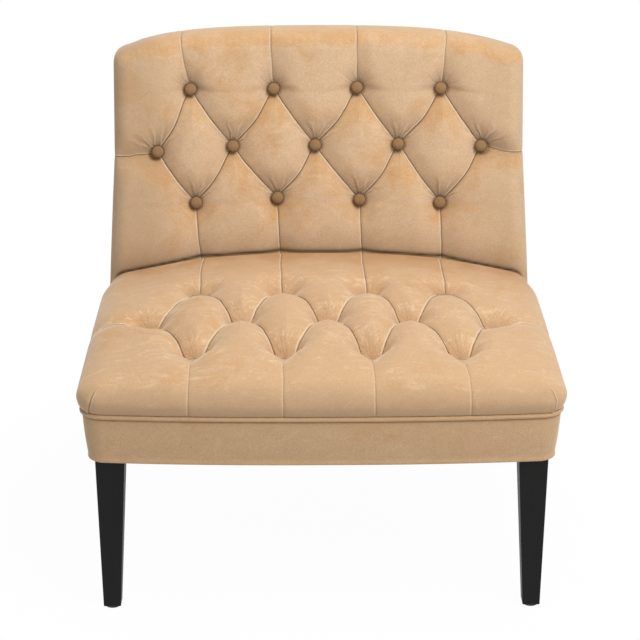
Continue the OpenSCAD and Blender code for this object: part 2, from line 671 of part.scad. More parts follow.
// Dowels of the seat frame
side_dowel_bite = 15;
module dowel(length, grow) cylinder(d = dowel_d + 2 * grow, h = length + 2 * grow, $fn = 48);
module side_dowels(s, grow) for (z = [dowel_rise, rail_h - dowel_rise])
    translate([s * (rail_in_x + rail_t / 2), front_rail_v - side_dowel_bite - grow, leg_h + z])
        rotate([-90, 0, 0]) dowel(dowel_l, grow);
module rear_dowels(s, grow) for (z = [dowel_rise, rail_h - dowel_rise])
    translate([s * (post_in_x - dowel_l / 2 - grow), rear_rail_v + rear_rail_t / 2, leg_h + z])
        rotate([0, s * 90, 0]) dowel(dowel_l, grow);

// Back rails and their dowels, in the leaning frame
lower_rail_z = frame_z + lower_rail_gap;
top_rail_z = button_row_z + button_row_pitch + top_rail_gap;
lower_rail_up = slope_up(0, lower_rail_z);
top_rail_up = slope_up(0, top_rail_z);
post_top_z = overall_h - back_arch - back_wall;
post_top_up = slope_up(0, post_top_z);
rail_mid_n = wood_n + back_rail_t / 2 - hollow(post_in_x) * cos(back_rake);
module back_rail_dowels(up, high, s, grow) for (w = [up + high / 4, up + high * 3 / 4])
    translate([s * (post_in_x - dowel_l / 2 - grow), rail_mid_n, w])
        rotate([0, s * 90, 0]) dowel(dowel_l, grow);
top_dowel_h = post_top_up - top_rail_up - dowel_d;
module all_back_dowels(s, grow) leaning() {
    back_rail_dowels(lower_rail_up, lower_rail_h, s, grow);
    back_rail_dowels(top_rail_up, top_dowel_h, s, grow);
}
module frame_dowels() color("wheat") in_place() for (s = [-1, 1]) {
    side_dowels(s, 0);
    rear_dowels(s, 0);
    all_back_dowels(s, 0);
}

// Back posts
post_front_set = wood_n / cos(back_rake) - hollow(post_in_x);
post_rear_set = (outside_t + fit + panel_t + fit) / cos(rear_rake) + hollow(post_out_x);
function post_front(z) = crown_v(z) + post_front_set;
function post_rear(z) = rear_v(z) - post_rear_set;
module post(s) in_place() difference() {
    translate([s > 0 ? post_in_x : -post_out_x, 0, 0]) rotate([90, 0, 90])
        linear_extrude(height = post_w) polygon([
            [post_front(leg_h), leg_h], [post_rear(leg_h), leg_h],
            [post_rear(post_top_z), post_top_z], [post_front(post_top_z), post_top_z]]);
    rear_dowels(s, pin_fit);
    all_back_dowels(s, pin_fit);
    post_bolt_places(s) post_bolt(pin_fit);
    leg_place(s, rear_bolt_v) insert_hole();
}
module left_back_post() color("burlywood") post(-1);
module right_back_post() color("burlywood") post(1);

module lower_back_rail() color("burlywood") in_place() difference() {
    leaning() translate([0, 0, lower_rail_up]) linear_extrude(height = lower_rail_h)
        hollow_slab(post_in_x, wood_n, wood_n + back_rail_t, back_rake);
    for (s = [-1, 1]) all_back_dowels(s, pin_fit);
}
// Top rail: its upper edge follows the arch of the back, under the padding
module top_back_rail() color("burlywood") in_place() difference() {
    xs = [for (k = [-hollow_count : hollow_count]) post_in_x * k / hollow_count];
    intersection() {
        leaning() translate([0, 0, top_rail_up]) linear_extrude(height = overall_h)
            hollow_slab(post_in_x, wood_n, wood_n + back_rail_t, back_rake);
        translate([0, 2 * chair_d, 0]) rotate([90, 0, 0]) linear_extrude(height = 2 * chair_d)
            polygon(concat([for (x = xs) [x, overall_h - back_wall - fit - arch(x)]],
                [[post_in_x, 0], [-post_in_x, 0]]));
    }
    for (s = [-1, 1]) all_back_dowels(s, pin_fit);
}

// Bolts through the side rails and posts, with washers and nuts inside
bolt_grip = rail_t + post_w;
module post_bolt_places(s) for (z = [rail_h * 2 / 5, rail_h * 4 / 5])
    translate([s * rail_out_x, post_front(leg_h) + post_bolt_v, leg_h + z])
        rotate([0, -s * 90, 0]) children();
module post_bolt(grow) {
    translate([0, 0, grow > 0 ? -over : 0])
        cylinder(d = head_d + 2 * grow, h = head_t + grow + (grow > 0 ? over : 0), $fn = 48);
    cylinder(d = bolt_d + 2 * grow, h = bolt_grip + washer_t + nut_t + over, $fn = 48);
}
module post_bolts() color("silver") in_place() for (s = [-1, 1]) post_bolt_places(s) post_bolt(0);
module post_washers() color("silver") in_place() for (s = [-1, 1]) post_bolt_places(s)
    translate([0, 0, bolt_grip]) difference() {
        cylinder(d = washer_d, h = washer_t, $fn = 48);
        translate([0, 0, -over]) cylinder(d = bolt_d + 2 * pin_fit, h = washer_t + 2 * over, $fn = 48);
    }
module post_nuts() color("silver") in_place() for (s = [-1, 1]) post_bolt_places(s)
    translate([0, 0, bolt_grip + washer_t]) difference() {
        cylinder(d = nut_w / cos(30), h = nut_t, $fn = 6);
        translate([0, 0, -over]) cylinder(d = bolt_d + 2 * pin_fit, h = nut_t + 2 * over, $fn = 48);
    }

// Legs: square, tapered mostly on their inner faces
rear_leg_v = post_rear(leg_h) + rear_leg_set - leg_top_w;
leg_bolt_x = leg_outer_x - leg_top_w / 2 - bolt_inset;
front_bolt_v = front_leg_v + leg_top_w / 2 + bolt_inset;
rear_bolt_v = rear_leg_v + leg_top_w / 2 - bolt_inset / 2;
module leg_place(s, v) translate([s * leg_bolt_x, v, leg_h]) children();
module insert_hole() translate([0, 0, -over])
    cylinder(d = insert_d + 2 * pin_fit, h = insert_l + over + fit, $fn = 48);
hanger_low = hanger_l * hanger_grip_share;
glide_x = leg_outer_x - leg_outer_draft - leg_foot_w / 2;
module leg(s, top_v, foot_v, bolt_v) in_place() {
    inner_x = leg_outer_x - leg_top_w;
    foot_x = leg_outer_x - leg_outer_draft;
    difference() {
        mirror([s < 0 ? 1 : 0, 0, 0]) intersection() {
            translate([0, top_v + foot_v, 0]) rotate([90, 0, 0])
                linear_extrude(height = 2 * (top_v + foot_v)) polygon([
                    [inner_x, leg_h], [leg_outer_x, leg_h],
                    [foot_x, glide_t], [foot_x - leg_foot_w, glide_t]]);
            rotate([90, 0, 90]) linear_extrude(height = seat_w) polygon([
                [top_v, leg_h], [foot_v, glide_t],
                [foot_v + leg_foot_w, glide_t], [top_v + leg_top_w, leg_h]]);
        }
        leg_place(s, bolt_v) translate([0, 0, -hanger_low - fit])
            cylinder(d = bolt_d + 2 * pin_fit, h = hanger_low + fit + over, $fn = 48);
        translate([s * glide_x, foot_v + leg_foot_w / 2, glide_t - over])
            cylinder(d = glide_pin_d + 2 * pin_fit, h = glide_pin_l + over + fit, $fn = 32);
    }
}
front_foot_v = front_leg_v + leg_outer_draft / 2;
rear_foot_v = rear_leg_v + rear_leg_kick + (leg_top_w - leg_foot_w) / 2;
module front_left_leg() color("black") leg(-1, front_leg_v, front_foot_v, front_bolt_v);
module front_right_leg() color("black") leg(1, front_leg_v, front_foot_v, front_bolt_v);
module rear_left_leg() color("black") leg(-1, rear_leg_v, rear_foot_v, rear_bolt_v);
module rear_right_leg() color("black") leg(1, rear_leg_v, rear_foot_v, rear_bolt_v);
module leg_glides() color("dimgray") in_place() for (s = [-1, 1]) for (v = [front_foot_v, rear_foot_v])
    translate([s * glide_x, v + leg_foot_w / 2, 0]) {
        cylinder(d = glide_d, h = glide_t, $fn = 48);
        cylinder(d = glide_pin_d, h = glide_t + glide_pin_l, $fn = 32);
    }
module leg_hanger_bolts() color("silver") in_place() for (s = [-1, 1]) for (v = [front_bolt_v, rear_bolt_v])
    leg_place(s, v) translate([0, 0, -hanger_low])
        cylinder(d = bolt_d, h = hanger_low + insert_l - fit, $fn = 48);
module leg_inserts() color("gold") in_place() for (s = [-1, 1]) for (v = [front_bolt_v, rear_bolt_v])
    leg_place(s, v) difference() {
        cylinder(d = insert_d, h = insert_l, $fn = 48);
        translate([0, 0, -over]) cylinder(d = bolt_d + 2 * pin_fit, h = insert_l + 2 * over, $fn = 48);
    }

// Seat suspension and ties
seat_web_v0 = front_rail_v - rail_t;
function seat_tuft_x(t) = t.x * seat_tuft_pitch / 2;
function seat_tuft_v(t) = seat_mid_v + t.y * seat_row_pitch;
module seat_tie_holes() for (t = tufts)
    translate([seat_tuft_x(t), seat_tuft_v(t), leg_h]) cylinder(d = 2 * tie_d, h = overall_h, $fn = 24);
module seat_webbing_long() color("sienna") in_place() difference() {
    intersection() {
        for (p = mid_marks) translate([p * seat_tuft_pitch / 2 - web_w / 2, seat_web_v0, web_z])
            cube([web_w, rear_rail_v + rail_t - seat_web_v0, web_t]);
        translate([fit - post_in_x, 0, 0]) cube([2 * (post_in_x - fit), chair_d, overall_h]);
    }
    seat_tie_holes();
}
module seat_webbing_cross() color("peru") in_place() difference() {
    for (q = [-1, 0, 1]) translate([-rail_out_x + fit, seat_mid_v + q * seat_row_pitch - web_w / 2,
            web_z + web_t])
        cube([2 * (rail_out_x - fit), web_w, web_t]);
    seat_tie_holes();
}
// Plan of what lies under the seat cushion, inside a given inset from the welt
module under_seat(d, rear_gap) {
    x_end = welt_half - d;
    xs = [for (k = [-hollow_count : hollow_count]) x_end * k / hollow_count];
    polygon(concat(
        [for (x = xs) [x, band_v + bow_at(min(abs(x), bow_end)) + d]],
        [for (k = [len(xs) - 1 : -1 : 0]) [xs[k], seat_rear_v(xs[k], seat_base_z) - rear_gap]]));
}
module seat_hessian() color("khaki") in_place() difference() {
    translate([0, 0, hessian_z]) linear_extrude(height = hessian_t) under_seat(rail_inset + rail_t / 2, fit);
    seat_tie_holes();
}
foam_sides = [for (w = seat_walk)
    let (a = seat_out(w, seat_shoulder_w - seat_wall), x = a.x - fit * cos(w.z))
    [x, min(a.y + fit * sin(w.z), seat_rear_v(x, seat_base_z) - over)]];
foam_rear = [for (k = [len(seat_p) - 1 : -1 : 0])
    let (x = seat_x(seat_p[k])) [x, seat_rear_v(x, seat_base_z) - over]];
module seat_foam() color("lightyellow") in_place() difference() {
    translate([0, 0, seat_base_z]) linear_extrude(height = seat_crown_h)
        polygon(concat(foam_sides, foam_rear));
    translate([-seat_w, seat_row_v, ceiling_z - fit]) rotate([atan(ceiling_slope), 0, 0])
        translate([0, -seat_d, 0]) cube([2 * seat_w, 3 * seat_d, overall_h]);
    seat_tie_holes();
}
tie_low_z = frame_z - toggle_t - 2 * tie_d;
module seat_tuft_ties() color("linen") in_place() for (t = tufts)
    translate([seat_tuft_x(t), seat_tuft_v(t), tie_low_z])
        cylinder(d = tie_d, h = ceiling_at(seat_tuft_v(t)) - fit - tie_low_z, $fn = 24);
module seat_toggles() color("gray") in_place() for (t = tufts)
    translate([seat_tuft_x(t), seat_tuft_v(t), web_z - toggle_t + (t.y == 0 ? 0 : web_t)]) difference() {
        cylinder(d = toggle_d, h = toggle_t, $fn = 48);
        translate([0, 0, -over]) cylinder(d = tie_d + 2 * pin_fit, h = toggle_t + 2 * over, $fn = 24);
    }

// Back suspension and ties, in the leaning frame
function button_x(t) = t.x * button_pitch / 2;
function button_z(t) = button_row_z + t.y * button_row_pitch;
function button_up(t) = slope_up(button_x(t), button_z(t)) + button_sink * sin(back_rake);
function button_n(t) = -hollow(button_x(t)) * cos(back_rake);
module at_buttons() leaning() for (t = tufts)
    translate([button_x(t), button_n(t), button_up(t)]) rotate([-90, 0, 0]) children();
module back_tie_holes() at_buttons() cylinder(d = 2 * tie_d, h = wood_n + back_rail_t, $fn = 24);
web_low_up = lower_rail_up + back_rail_t / 2;
web_high_up = post_top_up - back_rail_t / 2;
module back_webbing_up() color("sienna") in_place() difference() {
    leaning() translate([0, 0, web_low_up]) linear_extrude(height = web_high_up - web_low_up)
        intersection() {
            hollow_slab(post_out_x, up_n, wood_n, back_rake);
            for (p = mid_marks) translate([p * button_pitch / 2 - web_w / 2, -seat_d])
                square([web_w, 2 * seat_d]);
        }
    back_tie_holes();
}
module back_webbing_across() color("peru") in_place() difference() {
    leaning() for (q = [-1, 0, 1])
        translate([0, 0, slope_up(0, button_row_z + q * button_row_pitch) - web_w / 2])
            linear_extrude(height = web_w) hollow_slab(post_out_x, across_n, up_n, back_rake);
    back_tie_holes();
}
module back_hessian() color("khaki") in_place() difference() {
    leaning() translate([0, 0, web_low_up]) linear_extrude(height = web_high_up - web_low_up)
        hollow_slab(post_out_x, hessian_n, across_n, back_rake);
    back_tie_holes();
}
module back_foam() color("lightyellow") in_place() difference() {
    leaning() translate([0, 0, web_low_up]) linear_extrude(height = web_high_up - web_low_up)
        hollow_slab(post_out_x, foam_n, hessian_n, back_rake);
    back_tie_holes();
}
module button_ties() color("linen") in_place() at_buttons()
    translate([0, 0, foam_n]) cylinder(d = tie_d, h = wood_n - foam_n + toggle_t + 2 * tie_d, $fn = 24);
module back_toggles() color("gray") in_place() leaning() for (t = tufts)
    translate([button_x(t), button_n(t) + (t.y == 0 ? wood_n : up_n) + fit, button_up(t)])
        rotate([0, 0, -atan(hollow_turn(button_x(t)) * cos(back_rake))]) rotate([-90, 0, 0])
            difference() {
                cylinder(d = toggle_d, h = toggle_t, $fn = 48);
                translate([0, 0, -over]) cylinder(d = tie_d * 3 / 2, h = toggle_t + 2 * over, $fn = 24);
            }

// Covered buttons, each square to the hollowed surface, over the bottom of its dimple
button_lift_share = 0.42;
button_lift = button_sink * button_lift_share;
module button() {
    r = button_d / 2;
    rim = button_t / 5;
    rotate_extrude($fn = 64) polygon(concat(
        [[0, over - button_lift], [button_shank_d / 2, over - button_lift],
            [button_shank_d / 2, 0], [r - rim, 0], [r, rim]],
        [for (a = [15 : 15 : 75]) [r * cos(a), rim + (button_t - rim) * sin(a)]],
        [[0, button_t]]));
}
module back_buttons() color("peru") in_place() for (t = tufts)
    let (x = button_x(t), z = button_z(t))
    translate([x, crown_v(z) - hollow(x) + button_sink, z])
        rotate([0, 0, -atan(hollow_turn(x))]) rotate([90 - back_rake, 0, 0])
            translate([0, 0, button_lift]) button();

// Dust cover under the seat frame, cut clear of the legs
module dust_cover() color("dimgray") in_place() difference() {
    translate([0, 0, leg_h - dust_t]) linear_extrude(height = dust_t) difference() {
        polygon(outline(rail_rear_v - dust_inset, band_inset(leg_h) + dust_inset / 2));
        for (s = [-1, 1]) for (v = [front_leg_v, rear_leg_v])
            translate([s * (leg_outer_x - leg_top_w / 2), v + leg_top_w / 2])
                square(leg_top_w + 2 * leg_gap, center = true);
    }
}

front_seat_rail();
rear_seat_rail();
left_seat_rail();
right_seat_rail();
corner_blocks();
corner_block_screws();
frame_dowels();
left_back_post();
right_back_post();
lower_back_rail();
top_back_rail();
post_bolts();
post_washers();
post_nuts();
front_left_leg();
front_right_leg();
rear_left_leg();
rear_right_leg();
leg_hanger_bolts();
leg_inserts();
leg_glides();
seat_webbing_long();
seat_webbing_cross();
seat_hessian();
seat_foam();
seat_tuft_ties();
seat_toggles();
seat_cushion();
back_webbing_up();
back_webbing_across();
back_hessian();
back_foam();
button_ties();
back_toggles();
back_cushion();
back_buttons();
back_panel();
outside_back();
seat_band();
seat_welt();
dust_cover();
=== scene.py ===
import math

import bmesh
import bpy
import numpy as np
from mathutils import Matrix, Vector


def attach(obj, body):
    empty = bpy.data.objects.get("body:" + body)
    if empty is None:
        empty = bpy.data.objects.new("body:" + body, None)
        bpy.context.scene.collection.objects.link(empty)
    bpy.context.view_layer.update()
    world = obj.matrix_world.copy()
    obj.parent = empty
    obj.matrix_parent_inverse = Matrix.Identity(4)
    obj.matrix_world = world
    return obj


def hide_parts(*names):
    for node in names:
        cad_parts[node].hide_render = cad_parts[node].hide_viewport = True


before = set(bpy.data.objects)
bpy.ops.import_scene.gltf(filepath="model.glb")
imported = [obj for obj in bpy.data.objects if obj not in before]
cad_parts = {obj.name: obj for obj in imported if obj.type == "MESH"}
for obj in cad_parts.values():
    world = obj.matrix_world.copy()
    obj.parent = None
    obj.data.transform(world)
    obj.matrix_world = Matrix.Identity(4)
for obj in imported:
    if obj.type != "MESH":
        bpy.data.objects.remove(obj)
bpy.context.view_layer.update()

# Sizes in millimetres, as in the part's source. v runs from the front of the seat to the back.
MM = 0.001
FIT = 0.3
SEAT_W = 744.0
SEAT_D = 536.0
FRONT_BOW = 12.0
BOW_POWER = 2.4
CORNER_R = 40.0
SEAT_CROWN_H = 101.0
SEAT_WIDE_H = 35.0
SEAT_SHOULDER = 45.0
SEAT_LINE_H = 93.0
SEAT_TUFT_SIDE = 96.0
SEAT_ROW_V = 150.0
SEAT_ROW_REAR = 166.0
SEAT_TUFT_H = 47.0
SEAT_TUFT_RISE = 15.5
SEAT_BULGE = 4.0
CROWN_REACH = 136.0
CROWN_FALL = 36.0
BACK_RISE = 368.0
BACK_SIDE_SET = 21.0
BACK_RAKE = math.radians(14)
BACK_TOP_T = 86.0
BACK_SEAT_T = 112.0
BACK_BOW = 30.0
BACK_WAIST_RISE = 180.0
BACK_ROLL = 28.0
BACK_ARCH = 29.0
ARCH_POWER = 3.5
BUTTON_SIDE = 67.0
BUTTON_TOP_GAP = 99.0
BUTTON_LOW_GAP = 85.0
BUTTON_SINK = 26.0
LEG_H = 252.0
LEG_TOP = 45.0
LEG_FOOT = 27.0
LEG_DRAFT = 4.0
LEG_EDGE = 1.6
LEG_INSET = 22.5
FRONT_LEG_V = 34.0
REAR_LEG_KICK = 58.0
REAR_LEG_SET = 4.0
GLIDE_T = 3.0
RAIL_H = 75.0
RAIL_T = 24.0
BAND_DRAFT = 7.0
BAND_TOP_T = 14.0
WELT_D = 8.0
OUTSIDE_T = 3.0
EDGE_EASE = 4.0
PANEL_T = 3.0
WEB_T = 1.5
HESSIAN_T = 1.0

# Places that follow from them
SEAT_HALF = SEAT_W / 2
BACK_W = SEAT_W - 2 * BACK_SIDE_SET
WELT_HALF = SEAT_HALF - SEAT_BULGE
BOW_END = WELT_HALF - CORNER_R
LEG_OUT = WELT_HALF - LEG_INSET
POST_OUT = WELT_HALF - WELT_D / 2 - BAND_TOP_T - RAIL_T
FRAME_Z = LEG_H + RAIL_H
WELT_Z = FRAME_Z + WELT_D / 2
SEAT_BASE_Z = FRAME_Z + 2 * WEB_T + HESSIAN_T + FIT
BACK_BASE_Z = FRAME_Z + WELT_D + FIT
SEAT_WIDE_Z = FRAME_Z + SEAT_WIDE_H
SEAT_LINE_Z = FRAME_Z + SEAT_LINE_H
BACK_WAIST_Z = SEAT_LINE_Z + BACK_WAIST_RISE
OVERALL_H = SEAT_LINE_Z + BACK_RISE
SEAT_ROW_PITCH = (SEAT_D - SEAT_ROW_REAR - SEAT_ROW_V) / 2
SEAT_HALF_PITCH = (SEAT_HALF - SEAT_TUFT_SIDE) / 4
BUTTON_ROW_PITCH = (BACK_RISE - BUTTON_TOP_GAP - BUTTON_LOW_GAP) / 2
BUTTON_ROW_Z = SEAT_LINE_Z + BUTTON_LOW_GAP + BUTTON_ROW_PITCH
BACK_HALF_PITCH = (BACK_W / 2 - BUTTON_SIDE) / 4
SLOPE = math.tan(BACK_RAKE)
REAR_LOW_V = SEAT_D + BACK_SEAT_T
REAR_SLOPE = (BACK_RISE * SLOPE + BACK_TOP_T - BACK_SEAT_T) / BACK_RISE
REAR_RAKE = math.atan(REAR_SLOPE)

# Form of the covers that the part's source leaves plainer
BELLY_Z = 353.0
SHOULDER_SLOPE = 0.2
FRONT_SLOPE = 0.28
REAR_ROLL = 10.0
FRONT_FALL = 4.0
FRONT_FALL_REACH = 110.0
SIDE_FALL = 0.72
SIDE_POWER = 3.0
SIDE_BEND = 250.0
SEAT_TUCK = 5.0
SEAT_NIP = 11.0
SEAT_NIP_REACH = 70.0
BACK_TUCK = 8.0
BACK_TUCK_REACH = 52.0
BACK_TUCK_FADE = 9.0
OUTER_FALL = 10.0
CORNER_SQUARE = 0.08

# TINY keeps a divisor from zero, points closer than MERGE metres are one, and the last two mean far off
TINY = 1e-9
MERGE = 1e-6
NO_SEAM = 99.0
FAR_OFF = 1e6


def crown_v(z):
    return SEAT_D + (z - SEAT_LINE_Z) * SLOPE


def rear_v(z):
    return REAR_LOW_V + (z - SEAT_LINE_Z) * REAR_SLOPE


def hollow(x):
    return BACK_BOW * (2 * x / BACK_W) ** 2


def hollow_slope(x):
    return 8 * BACK_BOW * x / BACK_W**2


CHAIR_D = rear_v(OVERALL_H - EDGE_EASE)


def smooth(t):
    c = np.clip(t, 0, 1)
    return c * c * (3 - 2 * c)


def mix(a, b, t):
    return a + (b - a) * t


def ramp(value, start, end):
    """Share of the way from start to end, held between 0 and 1."""
    return np.clip((value - start) / (end - start), 0, 1)


def bell(value, width):
    return np.exp(-((value / width) ** 2))


SWELLS = 7
SWELL_SHORT, SWELL_LONG = 60, 170


def soft_noise(x, y, seed):
    """Slow swells of a hand-stuffed pad, between -1 and 1."""
    rng = np.random.default_rng(seed)
    total = np.zeros(np.broadcast(x, y).shape)
    for _ in range(SWELLS):
        turn = rng.uniform(0, math.tau)
        wave = math.tau / rng.uniform(SWELL_SHORT, SWELL_LONG)
        total += np.sin((x * math.cos(turn) + y * math.sin(turn)) * wave + rng.uniform(0, math.tau))
    return total / SWELLS


# Pieces

def finish_piece(obj, material, nodes):
    obj.data.materials.append(material)
    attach(obj, "root")
    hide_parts(*nodes)
    return obj


def link_piece(name, mesh):
    obj = bpy.data.objects.new(name, mesh)
    bpy.context.collection.objects.link(obj)
    return obj


def keep_marks(mesh, marks):
    """Keeps on each point the vectors that the cover's material reads."""
    for key, values in marks.items():
        layer = mesh.attributes.new(key, "FLOAT_VECTOR", "POINT")
        layer.data.foreach_set("vector", values.ravel())


def draped(name, place, fold=None, wrap=False, close=False):
    """A sheet of cells whose points are moved to place, a grid of millimetre positions.

    wrap fills the two ends of a tube, and close fills the sheet's open edge with one face.
    """
    rows, cols = place.shape[:2]
    bm = bmesh.new()
    bmesh.ops.create_grid(bm, x_segments=cols - 1, y_segments=rows - 1, size=1)
    if close:
        rim = [e for e in bm.edges if e.is_boundary]
        bmesh.ops.contextual_create(bm, geom=rim)
    mesh = bpy.data.meshes.new(name)
    bm.to_mesh(mesh)
    bm.free()
    flat = np.zeros(len(mesh.vertices) * 3)
    mesh.vertices.foreach_get("co", flat)
    flat = flat.reshape(-1, 3)
    i = np.rint((flat[:, 0] + 1) / 2 * (cols - 1)).astype(int)
    j = np.rint((flat[:, 1] + 1) / 2 * (rows - 1)).astype(int)
    points = place[j, i] * MM
    points[:, 1] -= CHAIR_D / 2 * MM
    mesh.vertices.foreach_set("co", points.ravel())
    if fold:
        keep_marks(mesh, {key: values[j, i] for key, values in fold.items()})
    bm = bmesh.new()
    bm.from_mesh(mesh)
    bmesh.ops.remove_doubles(bm, verts=bm.verts, dist=MERGE)
    if wrap:
        ends = [e for e in bm.edges if e.is_boundary]
        bmesh.ops.holes_fill(bm, edges=ends, sides=0)
    bmesh.ops.recalc_face_normals(bm, faces=bm.faces)
    for face in bm.faces:
        face.smooth = True
    bm.to_mesh(mesh)
    bm.free()
    mark_lift(mesh)
    return link_piece(name, mesh)


def mark_lift(mesh):
    """Keeps on each point how far its surface faces up; from it the nap material paints light on surfaces
    facing up and shade on those facing down.
    """
    normals = np.zeros(len(mesh.vertices) * 3)
    mesh.vertices.foreach_get("normal", normals)
    layer = mesh.attributes.new("lift", "FLOAT", "POINT")
    layer.data.foreach_set("value", normals.reshape(-1, 3)[:, 2].copy())


def lattice(cells, low, high):
    """Even steps between two marks, with a step on each whole mark."""
    first, last = math.ceil(low), math.floor(high)
    count = max(1, round((first - low) * cells)) if first > low else 0
    lead = np.linspace(low, first, count + 1)[:-1]
    inner = np.linspace(first, last, (last - first) * cells + 1)
    trail = np.linspace(last, high, round((high - last) * cells) + 1)[1:]
    return np.concatenate([lead, inner, trail])


# Tufting: tufts lie at even marks on the middle row and at odd marks on its neighbours.
# p counts marks across, q counts rows, and the outermost pleats run on to OFF_MARK.
OUTER_MARK, OFF_MARK = 4, 8
MIDDLE_MARKS, ODD_MARKS = (-4, -2, 0, 2, 4), (-3, -1, 1, 3)
TUFTS = [(p, 0) for p in MIDDLE_MARKS] + [(p, q) for q in (-1, 1) for p in ODD_MARKS]
MOUTH_STRENGTH = 1.2


def pleat_lines(mouth, upper, lower, outer):
    """Pleats as two ends and a strength: between tufts, then those that run off up, down and sideways."""
    lines = []
    for q in (-1, 1):
        for p in ODD_MARKS:
            lines += [((p + s * mouth, q), (p + s - s * mouth, 0), 1.0) for s in (-1, 1)]
    lines += [((p, 1), (p, OFF_MARK), upper) for p in ODD_MARKS]
    lines += [((p, -1), (p, -OFF_MARK), lower) for p in ODD_MARKS]
    lines += [((OUTER_MARK * s, 0), (OFF_MARK * s, 0), outer) for s in (-1, 1)]
    if mouth:
        lines += [((p - mouth, q), (p + mouth, q), MOUTH_STRENGTH) for p, q in TUFTS]
    return lines


# A pleat's mark fades where a second pleat lies almost as near, except right where the two meet
MEET_START, MEET_RUN = 1.5, 3.5
CROSS_START, CROSS_RUN = 2.4, 1.2


def tuft_field(p, q, half, row, lines, mouth=0.0):
    """Way to the nearest tuft with its offsets, and to the nearest pleat with its side and strength."""
    x, y = p * half, q * row
    best = np.full(x.shape, FAR_OFF)
    off_x, off_y = np.zeros(x.shape), np.zeros(x.shape)
    for tp, tq in TUFTS:
        dx, dy = x - tp * half, y - tq * row
        wide = np.sign(dx) * np.maximum(np.abs(dx) - mouth, 0)
        gap = np.hypot(wide, dy)
        near = gap < best
        best = np.where(near, gap, best)
        off_x, off_y = np.where(near, dx, off_x), np.where(near, dy, off_y)
    line, second, strength = np.full(x.shape, FAR_OFF), np.full(x.shape, FAR_OFF), np.zeros(x.shape)
    for (ap, aq), (bp, bq), power in lines:
        ux, uy = (bp - ap) * half, (bq - aq) * row
        wx, wy = x - ap * half, y - aq * row
        t = np.clip((ux * wx + uy * wy) / (ux * ux + uy * uy), 0, 1)
        gx, gy = wx - t * ux, wy - t * uy
        gap = np.hypot(gx, gy)
        side = np.where(gx >= 0, 1.0, -1.0) if abs(uy) > 0 else np.where(gy < 0, 1.0, -1.0)
        near = gap < np.abs(line)
        second = np.where(near, np.abs(line), np.minimum(second, gap))
        line, strength = np.where(near, gap * side, line), np.where(near, power, strength)
    apart = np.maximum((second - np.abs(line) - MEET_START) / MEET_RUN, (CROSS_START - second) / CROSS_RUN)
    guard = strength * smooth(apart)
    return best, off_x, off_y, line, strength, guard


FAN_FADE = 0.85
FAN_HALF_ANGLE, FAN_EDGE = 1.25, 0.5
TUFT_REACH = 60.0


def fold_marks(dx, dy, r, line, guard, reach, dimple, share, aside):
    """What the cover's material reads.

    fold: way to the nearest pleat, its strength, and the fan of gathers over a tuft.
    tuft: offsets from the nearest tuft and the way to it.
    hollow: depth of the dimple, way to the seam of seat and back, and the share of painted shade on the outer
    parts.
    """
    angle = np.abs(np.arctan2(dx, dy))
    fan = share * smooth((reach - r) / (FAN_FADE * reach)) * smooth((FAN_HALF_ANGLE - angle) / FAN_EDGE)
    return {
        "fold": np.stack([line, guard, fan], axis=-1),
        "tuft": np.stack([dx, dy, np.minimum(r, TUFT_REACH)], axis=-1),
        "hollow": np.stack([dimple, np.full(r.shape, NO_SEAM), aside], axis=-1),
    }


def hat(t):
    return np.where(np.abs(t) < 1, np.cos(np.clip(t, -1, 1) * math.pi / 2) ** 2, 0.0)


def tuft_weight(p, q, tp, tq):
    a, b = ((p - tp) + (q - tq)) / 2, ((p - tp) - (q - tq)) / 2
    return hat(a) * hat(b)


def drift(p, q, tufts, above, below, span_up, span_down):
    """Sideways and lengthways shift of the lattice: tufts and pleat ends lie off their even places."""
    shift = [np.zeros(p.shape), np.zeros(p.shape)]
    for (tp, tq), move in tufts.items():
        weight = tuft_weight(p, q, tp, tq)
        shift = [a + weight * m for a, m in zip(shift, move)]
    for ends, way in ((above, (q - 1) / span_up), (below, (-1 - q) / span_down)):
        share = np.clip(way, 0, 1)
        run = sum(move * hat((p - tp) / 2) for tp, move in ends.items())
        shift = [mix(shift[0], run, share), mix(shift[1], 0, share)]
    return shift


BOW_ROWS, BOW_EDGE = 1.15, 0.2


def pleat_bow(p, q, amount):
    """Sideways bow of the pleats that fall to the left."""
    inside = smooth((BOW_ROWS - np.abs(q)) / BOW_EDGE)
    return amount * inside * np.sin(math.pi * (p + q) / 2) ** 2 * np.cos(math.pi * (p - q) / 2) ** 2


def seat_crown(x, v):
    reach = SEAT_D - CROWN_REACH
    fall = CROWN_FALL * ((v - reach) / (reach - SEAT_SHOULDER)) ** 2
    fall = fall + FRONT_FALL * np.clip(1 - (v - SEAT_SHOULDER) / FRONT_FALL_REACH, 0, 1) ** 2
    far = np.minimum(np.abs(x), SIDE_BEND) / SEAT_HALF
    past = np.maximum(np.abs(x) - SIDE_BEND, 0) / SEAT_HALF
    side = 1 - SIDE_FALL * (far**SIDE_POWER + SIDE_POWER * far ** (SIDE_POWER - 1) * past)
    return SEAT_WIDE_Z + (SEAT_CROWN_H - SEAT_WIDE_H - fall) * side


def seam_z(x):
    """Height at which the seat meets the back."""
    edge = SEAT_HALF - SEAT_SHOULDER
    over = np.clip((np.abs(x) - edge) / (SEAT_SHOULDER - SEAT_NIP), 0, 1)
    top = seat_crown(np.minimum(np.abs(x), edge), SEAT_D - hollow(x))
    return SEAT_WIDE_Z + (top - SEAT_WIDE_Z) * np.sqrt(1 - over**2)


# Rims: a cover's sheet has a rim of RING steps round its tufted core
RING = 26


def ring_split(index, last, before, after):
    """Where a step lies in the rim before the first core step or after the last one."""
    core = np.clip(index, before, last - after)
    share = np.zeros(len(index))
    if before:
        share = np.where(index < before, (before - index) / before, share)
    if after:
        share = np.where(index > last - after, (index - last + after) / after, share)
    return core - before, share


